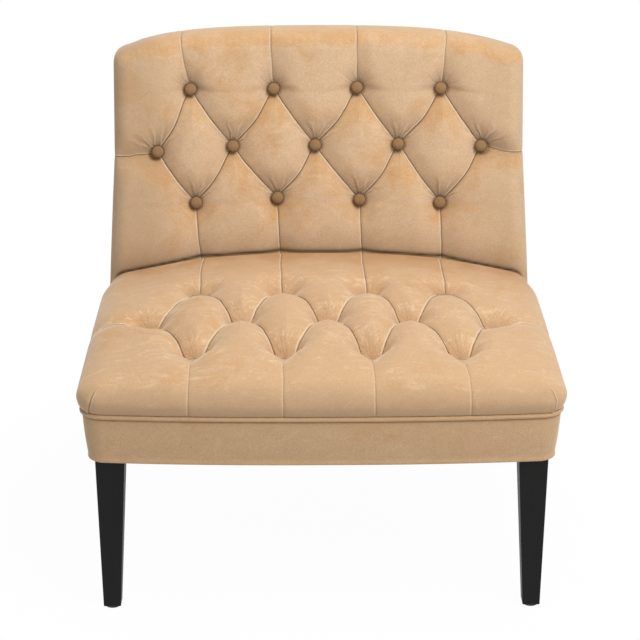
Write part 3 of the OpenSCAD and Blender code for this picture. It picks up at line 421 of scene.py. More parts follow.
def rim_grid(marks, rows, ring, foot_ring):
    """Marks and rows of a sheet with a rim of ring steps, and of foot_ring steps at its foot.

    s and t are the shares of the rim sideways and lengthways, and r is the larger one. hand is -1 on the
    left and 1 on the right. turn goes from 0 beside the core to a right angle above or below it.
    """
    cols, lines = len(marks) + 2 * ring, len(rows) + foot_ring + ring
    core_i, s = ring_split(np.arange(cols), cols - 1, ring, ring)
    core_j, t = ring_split(np.arange(lines), lines - 1, foot_ring, ring)
    p, q = np.meshgrid(marks[core_i], rows[core_j])
    s, t = np.meshgrid(s, t)
    hand = np.broadcast_to(np.sign(np.arange(cols) - cols / 2 + 0.5), p.shape)
    r = np.maximum(s, t)
    turn = np.where(s >= t, 45 * t / np.maximum(s, TINY), 90 - 45 * s / np.maximum(t, TINY))
    turn = np.radians(np.where(r > 0, turn, 0))
    return p, q, s, t, r, hand, turn


# Back cushion: its core reaches to BACK_SIDE_MARK on both sides and up to BACK_TOP_ROW
BACK_CELLS = 32
BACK_SIDE_MARK, BACK_TOP_ROW = 4.5, 1.75
BACK_LOW_SPAN = 1.2
BACK_PLEAT_BOW = 5.0
BACK_DRIFT_EDGE, BACK_DRIFT_TOP = 0.4, 0.5
RIGHT_FALL = 0.4

# Small shifts of each button from its even place, across and up
BUTTON_SHIFTS = {
    (-3, 1): (-8.0, 2.5), (-1, 1): (-6.5, 1.0), (1, 1): (-4.3, 2.5), (3, 1): (-1.7, 3.5),
    (-4, 0): (5.7, -7.5), (-2, 0): (-6.5, -1.5), (0, 0): (-6.0, -1.4), (2, 0): (-4.0, 1.0),
    (4, 0): (-3.3, 1.3),
    (-3, -1): (0.2, -2.5), (-1, -1): (-0.9, 3.0), (1, -1): (0.0, -0.8), (3, -1): (-2.6, -3.0),
}

# Sideways shifts of the pleats' far ends, by mark
BACK_TOP_ENDS = {-3: -20.0, -1: -11.0, 1: -5.0, 3: 4.0}
BACK_LOW_ENDS = {-3: 10.0, -1: 5.0, 1: 5.0, 3: -0.5}
BACK_PLEATS = pleat_lines(mouth=0.0, upper=0.55, lower=0.8, outer=0.7)


def back_half(z):
    return mix(BACK_W / 2, WELT_HALF - WELT_D / 2, ramp(z, BACK_WAIST_Z, FRAME_Z))


def arch(x):
    return BACK_ARCH * (np.abs(x) / (BACK_W / 2 - BACK_ROLL / 2)) ** ARCH_POWER


def side_rear(z, x):
    return rear_v(z) - hollow(x) - (OUTSIDE_T + FIT) / math.cos(REAR_RAKE)


def back_x(p, z):
    past = (np.abs(p) - OUTER_MARK) / (BACK_SIDE_MARK - OUTER_MARK)
    far = mix(OUTER_MARK * BACK_HALF_PITCH, back_half(z) - BACK_ROLL, past)
    return np.sign(p) * np.where(np.abs(p) <= OUTER_MARK, np.abs(p) * BACK_HALF_PITCH, far)


def back_z(q, x):
    top = OVERALL_H - BACK_ROLL - arch(x)
    upper = mix(BUTTON_ROW_Z + BUTTON_ROW_PITCH, top, (q - 1) / (BACK_TOP_ROW - 1))
    return np.where(q <= 1, BUTTON_ROW_Z + q * BUTTON_ROW_PITCH, upper)


# Hollows of the back. Depths are shares of the buttons' sink. Reaches, swell and unevenness are millimetres.
BACK_DIMPLE_REACH, BACK_DIMPLE_POWER = 21.0, 1.3
BACK_PLEAT_REACH, BACK_PLEAT_POWER = 48.0, 2.3
BACK_LINE_DEPTH, BACK_LINE_REACH = 0.16, 2.6
BACK_WEAK_PLEAT, BACK_FULL_PLEAT, WEAK_STRENGTH = 0.12, 0.36, 0.5
BACK_NEAR_BUTTON = 27.0
TENSION, TENSION_TALL, TENSION_WIDE, TENSION_MARK = 0.13, 6.0, 45.0, 4.2
BACK_FADE_ROW, BACK_FADE_RUN = 2.75, 0.7
BACK_SWELL, BACK_SWELL_REACH, BACK_SWELL_ROW, BACK_SWELL_RUN = 3.8, 22.0, 2.6, 0.8
BACK_UNEVEN, BACK_UNEVEN_SEED = 0.6, 4
BACK_FAN_REACH, UPPER_ROW, UPPER_FAN = 62.0, 0.5, 0.35
# Painted shade on the back's outer wings: the mark where it starts, its run, and its share on the right
WING_SHADE_MARK, WING_SHADE_RUN, RIGHT_WING_SHADE = 3.1, 1.4, 0.35


def back_deep(p, q):
    """How far the buttoned front is drawn in, in millimetres, and what its material reads."""
    r, dx, dy, line, strength, guard = tuft_field(p, q, BACK_HALF_PITCH, BUTTON_ROW_PITCH, BACK_PLEATS)
    d = np.abs(line)
    dimple = np.exp(-((r / BACK_DIMPLE_REACH) ** BACK_DIMPLE_POWER))
    along = mix(BACK_WEAK_PLEAT, BACK_FULL_PLEAT, ramp(strength, WEAK_STRENGTH, 1))
    along = mix(along, 1.0, np.exp(-r / BACK_NEAR_BUTTON))
    valley = (1 - ramp(d, 0, BACK_PLEAT_REACH)) ** BACK_PLEAT_POWER
    valley = valley + BACK_LINE_DEPTH * np.exp(-d / BACK_LINE_REACH)
    pull = 1 - (1 - dimple) * (1 - along * np.minimum(valley / (1 + BACK_LINE_DEPTH), 1))
    tension = TENSION * bell(dy, TENSION_TALL) * np.exp(-np.abs(dx) / TENSION_WIDE)
    tension = tension * (1 - dimple) * (np.abs(p) < TENSION_MARK)
    fade = smooth((q + BACK_FADE_ROW) / BACK_FADE_RUN)
    swell = BACK_SWELL * (1 - bell(d, BACK_SWELL_REACH)) * smooth((q + BACK_SWELL_ROW) / BACK_SWELL_RUN)
    uneven = BACK_UNEVEN * soft_noise(p * BACK_HALF_PITCH, q * BUTTON_ROW_PITCH, BACK_UNEVEN_SEED)
    deep = BUTTON_SINK * (pull + tension) * fade - swell + uneven * (1 - dimple)
    share = np.where(q > UPPER_ROW, UPPER_FAN, 1.0)
    # Painted shade that darkens the outer wings, stronger on the left
    aside = smooth((np.abs(p) - WING_SHADE_MARK) / WING_SHADE_RUN) * np.where(p < 0, 1.0, RIGHT_WING_SHADE)
    return deep, fold_marks(dx, dy, r, line, guard, BACK_FAN_REACH, dimple, share, aside)


def back_place(p, q):
    x0 = back_x(p, BUTTON_ROW_Z)
    z0 = back_z(q, x0)
    x = back_x(p, z0)
    z = back_z(q, x)
    shift_x, shift_z = drift(p, q, BUTTON_SHIFTS, BACK_TOP_ENDS, BACK_LOW_ENDS,
                             BACK_TOP_ROW - 1, BACK_LOW_SPAN)
    shift_x = shift_x + pleat_bow(p, q, BACK_PLEAT_BOW)
    edge = smooth((BACK_SIDE_MARK - np.abs(p)) / BACK_DRIFT_EDGE)
    shift_z = shift_z * smooth((BACK_TOP_ROW - q) / BACK_DRIFT_TOP)
    fall = OUTER_FALL * np.where(p < 0, 1, RIGHT_FALL) * ramp(np.abs(p), OUTER_MARK, BACK_SIDE_MARK) * hat(q)
    return x + shift_x * edge, z + shift_z * edge - fall


# Rim of the back: the shares of it at which its roll and its side end, and its forms in millimetres
BACK_ROLL_END, BACK_SIDE_END = 0.62, 0.95
BACK_SIDE_BELLY, BACK_LIP = 1.2, 9.0
CREASE_DEPTH, CREASE_REACH, CREASE_ROWS = 0.9, 3.0, 1.9
SEAM_FADE = 60.0
GATHER, GATHER_RATE, GATHER_SWAY, GATHER_SWAY_RATE = 0.35, 37, 3, 5
HEEL_STEPS = 8


def make_back_cushion(material):
    low_q = (BACK_BASE_Z - BUTTON_ROW_Z) / BUTTON_ROW_PITCH
    marks = lattice(BACK_CELLS, -BACK_SIDE_MARK, BACK_SIDE_MARK)
    rows = lattice(BACK_CELLS, low_q, BACK_TOP_ROW)
    p, q, s, t, r, hand, turn = rim_grid(marks, rows, RING, 0)
    x, z = back_place(p, q)
    deep, fold = back_deep(p, q)
    rim = ramp(r, 0, BACK_ROLL_END)
    side = ramp(r, BACK_ROLL_END, BACK_SIDE_END)
    lip = ramp(r, BACK_SIDE_END, 1)
    angle = rim * math.pi / 2
    crease = CREASE_DEPTH * np.exp(-np.abs(fold["fold"][..., 0]) / CREASE_REACH)
    crease = np.where(np.abs(q) < CREASE_ROWS, crease, 0)
    out = (BACK_ROLL - crease) * np.sin(angle) - EDGE_EASE * side**2
    out = out + BACK_SIDE_BELLY * np.sin(math.pi * side) - BACK_LIP * lip
    out = np.where(r > 0, out, 0)
    out = out * (1 + CORNER_SQUARE * np.sin(2 * turn) ** 2)
    lean = np.arctan(ARCH_POWER * arch(x) / np.maximum(np.abs(x), 1))
    turn = turn * (1 - lean / (math.pi / 2))
    roll = BACK_ROLL * (1 - np.cos(angle)) + deep * np.cos(angle) ** 2
    x = x + hand * out * np.cos(turn)
    z = np.maximum(z + out * np.sin(turn), BACK_BASE_Z)
    above_seat = z - seam_z(x)
    tucked = BACK_TUCK * np.clip(1 - above_seat / BACK_TUCK_REACH, 0, 1) ** 2
    tucked = np.minimum(tucked, BACK_TUCK) * np.exp(np.minimum(above_seat, 0) / BACK_TUCK_FADE)
    # Way to the seam with the seat, along which the material paints shade; it fades out round the rim
    fold["hollow"][..., 1] = np.abs(above_seat) + SEAM_FADE * np.where(s > 0, rim, 0) ** 4
    front = crown_v(z) - hollow(x) + roll + tucked
    v = mix(front, side_rear(z, x), side)
    gather = GATHER * np.sin(p * GATHER_RATE + GATHER_SWAY * np.sin(q * GATHER_SWAY_RATE))
    v = v + gather * np.sin(math.pi * rim) * (t > s)
    place = np.stack([x, v, z], axis=-1)
    foot = place[0]
    heel = np.stack([foot[:, 0], side_rear(foot[:, 2], foot[:, 0]), foot[:, 2]], axis=-1)
    base = mix(heel[None], foot[None], np.linspace(0, 1, HEEL_STEPS + 1)[:-1, None, None])
    place = np.concatenate([base, place])
    fold = {key: np.concatenate([np.repeat(v[:1], HEEL_STEPS, axis=0), v]) for key, v in fold.items()}
    obj = draped("back_cushion_cover", place, fold, close=True)
    finish_piece(obj, material, ["back_cushion"])
    return obj


# Buttons: half the section of a covered button, as way out and height, and the share of the sink it stands at
BUTTON_PROFILE = [
    (0, 7.4), (3, 7.2), (6, 6.4), (8.2, 5.1), (9.4, 3.9), (9.9, 3.3), (10.5, 3.0), (10.9, 2.3), (10.8, 1.2),
    (10.2, 0.3), (8.5, -0.6), (5, -1.0), (0, -1.0),
]
BUTTON_STEPS = 48
BUTTON_STAND = 0.42
# Where the painted shadow ring at the button's edge starts, in millimetres out, and its run
BUTTON_SHADOW_START, BUTTON_SHADOW_RUN = 8.6, 1.6


def button_mesh():
    one = bmesh.new()
    chain = [one.verts.new((r * MM, 0, h * MM)) for r, h in BUTTON_PROFILE]
    edges = [one.edges.new(pair) for pair in zip(chain, chain[1:])]
    bmesh.ops.spin(one, geom=chain + edges, axis=(0, 0, 1), cent=(0, 0, 0), steps=BUTTON_STEPS,
                   angle=math.tau, use_merge=True)
    bmesh.ops.remove_doubles(one, verts=one.verts, dist=MERGE)
    bmesh.ops.recalc_face_normals(one, faces=one.faces)
    for face in one.faces:
        face.smooth = True
    mesh = bpy.data.meshes.new("covered_button")
    one.to_mesh(mesh)
    one.free()
    return mesh


def make_buttons(material):
    single = button_mesh()
    bm = bmesh.new()
    for (tp, tq), (sx, sz) in BUTTON_SHIFTS.items():
        x, z = tp * BACK_HALF_PITCH + sx, BUTTON_ROW_Z + tq * BUTTON_ROW_PITCH + sz
        start = len(bm.verts)
        bm.from_mesh(single)
        bm.verts.ensure_lookup_table()
        aside = Matrix.Rotation(-math.atan(hollow_slope(x)), 4, "Z")
        turn = aside @ Matrix.Rotation(math.pi / 2 - BACK_RAKE, 4, "X")
        base = Vector((x, crown_v(z) - hollow(x) + BUTTON_SINK - CHAIR_D / 2, z)) * MM
        place = Matrix.Translation(base) @ turn @ Matrix.Translation((0, 0, BUTTON_SINK * BUTTON_STAND * MM))
        bmesh.ops.transform(bm, matrix=place, verts=bm.verts[start:])
    mesh = bpy.data.meshes.new("covered_buttons")
    bm.to_mesh(mesh)
    bm.free()
    way_out = np.array([math.hypot(v.co.x, v.co.y) / MM for v in single.vertices] * len(BUTTON_SHIFTS))
    # A painted shadow ring on the button's edge, darkened through the dimple mark
    rim = smooth((way_out - BUTTON_SHADOW_START) / BUTTON_SHADOW_RUN)
    far, none = np.full(rim.shape, NO_SEAM), np.zeros(rim.shape)
    marks = {"fold": [far, none, none], "tuft": [far, far, far], "hollow": [rim, far, none]}
    keep_marks(mesh, {key: np.stack(values, axis=-1) for key, values in marks.items()})
    bpy.data.meshes.remove(single)
    mark_lift(mesh)
    return finish_piece(link_piece("covered_buttons", mesh), material, ["back_buttons"])


# Seat cushion: its core reaches to SEAT_SIDE_MARK on both sides, and from SEAT_FRONT_ROW to SEAT_REAR_ROW
SEAT_CELLS = 34
SEAT_SIDE_MARK, SEAT_FRONT_ROW, SEAT_REAR_ROW = 4.75, -1.75, 2.5
SEAT_PLEAT_BOW = 2.0
SEAT_DRIFT_EDGE = 0.5
SEAT_TO_BACK = 0.6

# Small shifts of each tuft from its even place, across and back
TUFT_SHIFTS = {
    (-3, 1): (9.0, -5.0), (-1, 1): (6.5, -11.0), (1, 1): (9.0, -11.0), (3, 1): (1.0, -6.0),
    (-4, 0): (1.0, 0.0), (-2, 0): (11.0, -2.0), (0, 0): (12.0, -1.0), (2, 0): (4.0, -3.0),
    (4, 0): (2.0, -2.0),
    (-3, -1): (8.5, 0.0), (-1, -1): (12.5, 0.0), (1, -1): (10.0, -2.0), (3, -1): (9.5, -3.0),
}

# Sideways shifts of the pleats' far ends, by mark
SEAT_REAR_ENDS = {-3: 10.0, -1: 4.5, 1: 6.0, 3: 1.0}
SEAT_FRONT_ENDS = {-3: 6.5, -1: 11.0, 1: 11.0, 3: 17.0}
SEAT_PLEATS = pleat_lines(mouth=0.19, upper=0.8, lower=0.35, outer=0.8)


def seat_x(p):
    past = (np.abs(p) - OUTER_MARK) / (SEAT_SIDE_MARK - OUTER_MARK)
    far = mix(OUTER_MARK * SEAT_HALF_PITCH, SEAT_HALF - SEAT_SHOULDER, past)
    return np.sign(p) * np.where(np.abs(p) <= OUTER_MARK, np.abs(p) * SEAT_HALF_PITCH, far)


def front_v(x):
    return FRONT_BOW * np.minimum(np.abs(x) / BOW_END, 1) ** BOW_POWER


def seat_rear_v(x, z):
    return crown_v(z) - hollow(x) - SEAT_TO_BACK


def seat_v(q, x):
    middle = SEAT_ROW_V + SEAT_ROW_PITCH
    rear = mix(middle + SEAT_ROW_PITCH, seat_rear_v(x, SEAT_LINE_Z), (q - 1) / (SEAT_REAR_ROW - 1))
    front = mix(middle - SEAT_ROW_PITCH, front_v(x) + SEAT_SHOULDER, (-1 - q) / (-1 - SEAT_FRONT_ROW))
    return np.where(np.abs(q) <= 1, middle + q * SEAT_ROW_PITCH, np.where(q > 1, rear, front))


# Hollows of the seat. Depths are shares of the way down to the tufts' floor. The floor's fall, the dent,
# reaches, swell and unevenness are millimetres.
SEAT_MOUTH = 13.0
SEAT_FLOOR_FALL, SEAT_FLOOR_MARK = 9.0, 3
SEAT_DIMPLE_REACH, SEAT_DIMPLE_POWER = 16.0, 1.5
OUTWARD_RUN = 0.5
SEAT_FULL_PLEAT, SEAT_WEAK_PLEAT = 0.33, 0.09
SEAT_NEAR_TUFT = 28.0
SEAT_PLEAT_DEPTH, SEAT_PLEAT_REACH, SEAT_PLEAT_POWER = 0.80, 52.0, 2.2
SEAT_LINE_DEPTH, SEAT_LINE_REACH = 0.20, 3.0
SEAT_FADE_RUN = 0.35
DENT, DENT_WIDE, DENT_AHEAD, DENT_LONG = 5.5, 15.0, 29.0, 14.0
SEAT_SWELL, SEAT_SWELL_REACH, SEAT_SWELL_ROW, SEAT_SWELL_RUN = 2.6, 24.0, 2.3, 0.6
SEAT_UNEVEN, SEAT_UNEVEN_SEED = 0.8, 9
SEAT_FAN_REACH = 46.0


def seat_sink(p, q, crown, v):
    """How far the seat's top is drawn down, in millimetres, and what its material reads."""
    r, dx, dy, line, strength, guard = tuft_field(
        p, q, SEAT_HALF_PITCH, SEAT_ROW_PITCH, SEAT_PLEATS, SEAT_MOUTH)
    d = np.abs(line)
    floor = FRAME_Z + SEAT_TUFT_H + (v - SEAT_ROW_V) * SEAT_TUFT_RISE / SEAT_ROW_PITCH
    floor = floor - SEAT_FLOOR_FALL * smooth(np.abs(p) - SEAT_FLOOR_MARK)
    depth = np.maximum(crown - floor, 0)
    dimple = np.exp(-((r / SEAT_DIMPLE_REACH) ** SEAT_DIMPLE_POWER))
    outward = smooth((np.abs(q) - 1) / OUTWARD_RUN) + smooth((np.abs(p) - OUTER_MARK) / OUTWARD_RUN)
    along = mix(SEAT_FULL_PLEAT, SEAT_WEAK_PLEAT, np.clip(outward, 0, 1))
    along = mix(along, 1.0, np.exp(-r / SEAT_NEAR_TUFT))
    valley = SEAT_PLEAT_DEPTH * (1 - ramp(d, 0, SEAT_PLEAT_REACH)) ** SEAT_PLEAT_POWER
    valley = valley + SEAT_LINE_DEPTH * np.exp(-d / SEAT_LINE_REACH) * strength
    pull = 1 - (1 - dimple) * (1 - along * np.minimum(valley, 1))
    fade = smooth((SEAT_REAR_ROW - q) / SEAT_FADE_RUN)
    dent = DENT * bell(dx, DENT_WIDE) * bell(dy + DENT_AHEAD, DENT_LONG)
    swell = SEAT_SWELL * (1 - bell(d, SEAT_SWELL_REACH)) * smooth((SEAT_SWELL_ROW - q) / SEAT_SWELL_RUN)
    uneven = SEAT_UNEVEN * soft_noise(p * SEAT_HALF_PITCH, q * SEAT_ROW_PITCH, SEAT_UNEVEN_SEED)
    deep = (depth * pull + dent) * fade - swell + uneven * (1 - dimple)
    return deep, fold_marks(dx, dy, r, line, guard, SEAT_FAN_REACH, dimple, 1.0, np.zeros_like(p))


def seat_nip(v, x):
    return SEAT_NIP * smooth((v - (SEAT_D - hollow(x) - SEAT_NIP_REACH)) / SEAT_NIP_REACH)


# Rim of the seat: the shares of it at which its roll and its underside end, and its forms in millimetres
SEAT_ROLL_END, SEAT_UNDER_END = 0.66, 0.93
SEAT_LIP, SEAT_LIP_DROP = 7.5, 4.4
TOP_CLEAR, REAR_CLEAR, WELT_CLEAR = 2.0, 0.6, 1.3
SEAT_LOW_Z = FRAME_Z + WELT_D + WELT_CLEAR
REAR_ROLL_DEPTH = 0.8
ROLL_CREASE, ROLL_CREASE_REACH = 1.2, 3.0
ROLL_CREASE_MARK, ROLL_CREASE_ROW = 3.5, 0.5
# Painted shade on the seat's front roll: the share of the rim where it starts, and its run
FRONT_SHADE_START, FRONT_SHADE_RUN = 0.1, 0.6

# Dart at each front corner: its turn and slant, its share of the rim, and its lip and groove
DART_TURN, DART_SLANT = math.radians(70), math.radians(7.5)
RIGHT_SLANT = 1.8
DART_START, DART_RUN, DART_STRENGTH = 0.42, 0.2, 0.75
DART_LIP, DART_LIP_ASIDE, DART_LIP_REACH = 2.2, 4.6, 3.8
DART_GROOVE, DART_GROOVE_REACH = 1.8, 2.2


def add_darts(fold, out, turn, rim, under, lip, hand, where):
    """Keeps the dart in the cover's marks and returns how far the rim then stands out."""
    slant = np.where(hand < 0, DART_SLANT * (rim + under), DART_SLANT * RIGHT_SLANT)
    aside = (turn - DART_TURN + slant) * SEAT_SHOULDER * hand
    dart = np.where(where, smooth((rim - DART_START) / DART_RUN) * (1 - lip), 0)
    near = where & (rim > DART_START) & (np.abs(aside) < np.abs(fold["fold"][..., 0]))
    fold["fold"][..., 0] = np.where(near, aside, fold["fold"][..., 0])
    fold["fold"][..., 1] = np.where(near, DART_STRENGTH * dart, fold["fold"][..., 1])
    raised = DART_LIP * bell(aside - DART_LIP_ASIDE, DART_LIP_REACH)
    return out + dart * (raised - DART_GROOVE * bell(aside, DART_GROOVE_REACH))


def seat_rim_z(z, rim, under, lip, turn):
    """Height of the rim beside and before the core: over the shoulder, down the belly and in under it."""
    top = np.maximum(z, SEAT_WIDE_Z + TOP_CLEAR)
    bend = 1 - np.sqrt(np.maximum(1 - np.sin(rim * math.pi / 2), 0))
    slope = mix(SHOULDER_SLOPE, FRONT_SLOPE, np.sin(turn) ** 2)
    knee = np.maximum(top - slope * SEAT_SHOULDER, SEAT_WIDE_Z)
    roll = top * (1 - bend) ** 2 + 2 * knee * bend * (1 - bend) + BELLY_Z * bend**2
    return np.where(under > 0, BELLY_Z, roll) - (BELLY_Z - SEAT_LOW_Z) * under - SEAT_LIP_DROP * lip


def make_seat_cushion(material):
    marks = lattice(SEAT_CELLS, -SEAT_SIDE_MARK, SEAT_SIDE_MARK)
    rows = lattice(SEAT_CELLS, SEAT_FRONT_ROW, SEAT_REAR_ROW)
    p, q, s, t, r, hand, turn = rim_grid(marks, rows, RING, RING)
    front = np.broadcast_to(np.arange(len(p))[:, None] < RING, p.shape)
    shift_x, shift_v = drift(p, q, TUFT_SHIFTS, SEAT_REAR_ENDS, SEAT_FRONT_ENDS,
                             SEAT_REAR_ROW - 1, -1 - SEAT_FRONT_ROW)
    edge = smooth((SEAT_SIDE_MARK - np.abs(p)) / SEAT_DRIFT_EDGE)
    x = seat_x(p) + (shift_x + pleat_bow(p, q, SEAT_PLEAT_BOW)) * edge
    v0 = seat_v(q, x) + shift_v * edge
    crown = seat_crown(x, v0)
    v = np.where(q >= SEAT_REAR_ROW, seat_rear_v(x, crown), v0)
    deep, fold = seat_sink(p, q, crown, v)
    crease = ROLL_CREASE * np.exp(-np.abs(fold["fold"][..., 0]) / ROLL_CREASE_REACH)
    crease = np.where((np.abs(p) < ROLL_CREASE_MARK) | (np.abs(q) < ROLL_CREASE_ROW), crease, 0)
    to_back = (SEAT_REAR_ROW - q) * (SEAT_D - SEAT_ROW_V - 2 * SEAT_ROW_PITCH) / (SEAT_REAR_ROW - 1)
    turned = np.clip(1 - to_back / REAR_ROLL, 0, 1)
    z = crown - deep - REAR_ROLL * (1 - np.sqrt(1 - turned**2)) * REAR_ROLL_DEPTH
    rim = ramp(r, 0, SEAT_ROLL_END)
    under = ramp(r, SEAT_ROLL_END, SEAT_UNDER_END)
    lip = ramp(r, SEAT_UNDER_END, 1)
    lengthways = np.sin(turn) ** 2
    # Way to the back, along which the material paints shade near the seam, and the share of painted shade on
    # the front roll
    fold["hollow"][..., 1] = np.maximum(to_back, 0) + SEAM_FADE * rim
    fold["hollow"][..., 2] = np.where(front, smooth((rim - FRONT_SHADE_START) / FRONT_SHADE_RUN) * lengthways, 0)
    out = SEAT_SHOULDER * np.sin(rim * math.pi / 2) - crease * rim - SEAT_TUCK * under**2 - SEAT_LIP * lip
    out = add_darts(fold, out, turn, rim, under, lip, hand, front & (t > 0) & (s > 0))
    out = out - np.where(front, 0, seat_nip(v, x)) * rim
    out = np.where(r > 0, np.maximum(out, 0), 0)
    z_side = seat_rim_z(z, rim, under, lip, turn)
    z_rear = mix(z, SEAT_BASE_Z + REAR_CLEAR, r)
    z = np.where(r > 0, mix(z_side, z_rear, np.where(front, 0, lengthways)), z)
    x = x + hand * out * np.cos(turn)
    v = v - np.where(front, out * np.sin(turn), 0)
    behind = seat_rear_v(x, z)
    v = np.where((~front) & (t > 0), behind, np.minimum(v, behind))
    obj = draped("seat_cushion_cover", np.stack([x, v, z], axis=-1), fold, close=True)
    finish_piece(obj, material, ["seat_cushion"])
    return obj


# Welt and band follow the plan of the seat

def bow_at(x):
    return FRONT_BOW * (np.abs(x) / BOW_END) ** BOW_POWER


def plan(rear, side_steps=40, arc_steps=24, bow_steps=60):
    """Places round the seat from the left rear, each with its outward turn and its share of the way back."""
    end = math.atan(FRONT_BOW * BOW_POWER / BOW_END)
    corner_v = SEAT_BULGE + float(bow_at(BOW_END + CORNER_R * math.sin(end)))
    start = corner_v + CORNER_R * math.cos(end)
    half = [(WELT_HALF, mix(rear, start, k / side_steps), 0.0, 1 - k / side_steps) for k in range(side_steps)]
    for k in range(arc_steps + 1):
        a = k * (math.pi / 2 - end) / arc_steps
        half.append((BOW_END + CORNER_R * math.cos(a), start - CORNER_R * math.sin(a), a, 0.0))
    for k in range(1, bow_steps + 1):
        x = BOW_END * (1 - k / bow_steps)
        lean = math.atan(FRONT_BOW * BOW_POWER * (x / BOW_END) ** (BOW_POWER - 1) / BOW_END)
        half.append((x, SEAT_BULGE + float(bow_at(x)), math.pi / 2 - lean, 0.0))
    other = [(-x, v, math.pi - a, b) for x, v, a, b in half[:-1]]
    return np.array(other + half[::-1])


def swept(name, section, path, rear_of, wrap):
    """A section of (inset, height) points carried along the plan."""
    ins, high = np.array(section).T
    x = path[:, None, 0] - ins * np.cos(path[:, None, 2])
    v = path[:, None, 1] + ins * np.sin(path[:, None, 2])
    z = np.broadcast_to(high, x.shape)
    slide = rear_of(z) - rear_of(np.full_like(z, high[0]))
    v = v + slide * path[:, None, 3]
    return draped(name, np.stack([x, v, z], axis=-1), wrap=wrap)


# Steps round the welt's section
WELT_STEPS = 20


def make_welt(material):
    path = plan(float(side_rear(WELT_Z, WELT_HALF)))
    turns = np.linspace(0, math.tau, WELT_STEPS + 1)
    section = [(WELT_D / 2 - WELT_D / 2 * math.cos(a), WELT_Z + WELT_D / 2 * math.sin(a)) for a in turns]
    obj = swept("seat_welt_cord", section, path, lambda z: 0 * z, wrap=True)
    return finish_piece(obj, material, ["seat_welt"])


# Section of the band as inset and height: its tucked top edge, its face with two soft bulges, and its hem
BAND_TOP_GAP = 0.2
BAND_TOP_EDGE = [(9.5, 0.0), (6.5, 0.2), (4.6, 1.6)]
BAND_STEPS = 25
BAND_FACE_INSET = 0.2
BAND_BULGE, TOP_BULGE_SHARE = 0.9, 0.05
HEM_R, HEM_STEPS, HEM_INSET, HEM_ABOVE = 3.0, 6, 2.1, 3.2
BAND_HEM = [(16.4, 0.0), (17.0, 1.0), (17.2, 12.0)]


def make_band(material):
    low, high = LEG_H + FIT, FRAME_Z - BAND_TOP_GAP
    path = plan(float(side_rear(high, WELT_HALF)))
    section = [(inset, high - drop) for inset, drop in BAND_TOP_EDGE]
    face_top = section[-1][1]
    for k in range(1, BAND_STEPS):
        t = k / BAND_STEPS
        bulge = BAND_BULGE * (math.sin(math.pi * t) + bell(1 - t, TOP_BULGE_SHARE))
        inset = WELT_D / 2 + BAND_FACE_INSET + BAND_DRAFT * t - bulge
        section.append((inset, mix(face_top, low + HEM_ABOVE, t)))
    for k in range(HEM_STEPS + 1):
        a = k / HEM_STEPS * math.pi / 2
        inset = WELT_D / 2 + BAND_DRAFT + HEM_INSET - HEM_R * math.cos(a)
        section.append((inset, low + HEM_R - HEM_R * math.sin(a)))
    section += [(inset, low + rise) for inset, rise in BAND_HEM]
    obj = swept("seat_band_cover", section, path, lambda z: side_rear(z, WELT_HALF), wrap=False)
    finish_piece(obj, material, ["seat_band"])
    return obj


# Outside back: shares of its rim at which its round edge, its turn and its lip lie, and their millimetres
OUTSIDE_RING, ACROSS_STEPS, UP_STEPS = 10, 120, 90
OUTSIDE_TURN, OUTSIDE_TURN_END = 24.0, 0.86
OUTSIDE_EDGE_START, OUTSIDE_ROUND = 0.50, 2.6
OUTSIDE_LIP_START, OUTSIDE_LIP_IN, OUTSIDE_LIP = 0.87, 1.2, 5.0
OUTSIDE_GAP = 0.4
OUTSIDE_UNEVEN, OUTSIDE_UNEVEN_SEED = 0.35, 2
OUTSIDE_GATHER, OUTSIDE_GATHER_RATE = 0.25, 0.35
EASE_RUN = 20.0


def outside_half(z):
    lower = WELT_HALF - WELT_D / 2 - BAND_DRAFT * (FRAME_Z - z) / RAIL_H
    return np.where(z < FRAME_Z, lower, back_half(z) - EDGE_EASE * smooth((z - FRAME_Z) / EASE_RUN))


def outside_z(x, share):
    return mix(LEG_H + FIT, OVERALL_H - BACK_ROLL - arch(x), share)


def make_outside_back(material):
    across = np.linspace(-1, 1, ACROSS_STEPS + 1)
    up = np.linspace(0, 1, UP_STEPS + 1)
    a, b, _, _, r, hand, turn = rim_grid(across, up, OUTSIDE_RING, 0)
    x = a * (outside_half(outside_z(a * (BACK_W / 2 - BACK_ROLL), b)) - OUTSIDE_TURN)
    z = outside_z(x, b)
    lip = ramp(r, OUTSIDE_LIP_START, 1)
    out = OUTSIDE_TURN * ramp(r, 0, OUTSIDE_TURN_END) * (1 + CORNER_SQUARE * np.sin(2 * turn) ** 2)
    out = out - OUTSIDE_LIP_IN * lip
    x = x + hand * out * np.cos(turn)
    z = z + out * np.sin(turn)
    edge = ramp(r, OUTSIDE_EDGE_START, OUTSIDE_TURN_END)
    v = rear_v(z) - hollow(x) - OUTSIDE_GAP - OUTSIDE_ROUND * (1 - np.sqrt(1 - edge**2)) - OUTSIDE_LIP * lip
    v = v + OUTSIDE_UNEVEN * soft_noise(x, z, OUTSIDE_UNEVEN_SEED) * (1 - edge)
    gather = OUTSIDE_GATHER * np.sin((x + z) * OUTSIDE_GATHER_RATE) * edge * (1 - edge)
    obj = draped("outside_back_cover", np.stack([x, v + gather, z], axis=-1))
    finish_piece(obj, material, ["outside_back"])
    return obj


# Legs

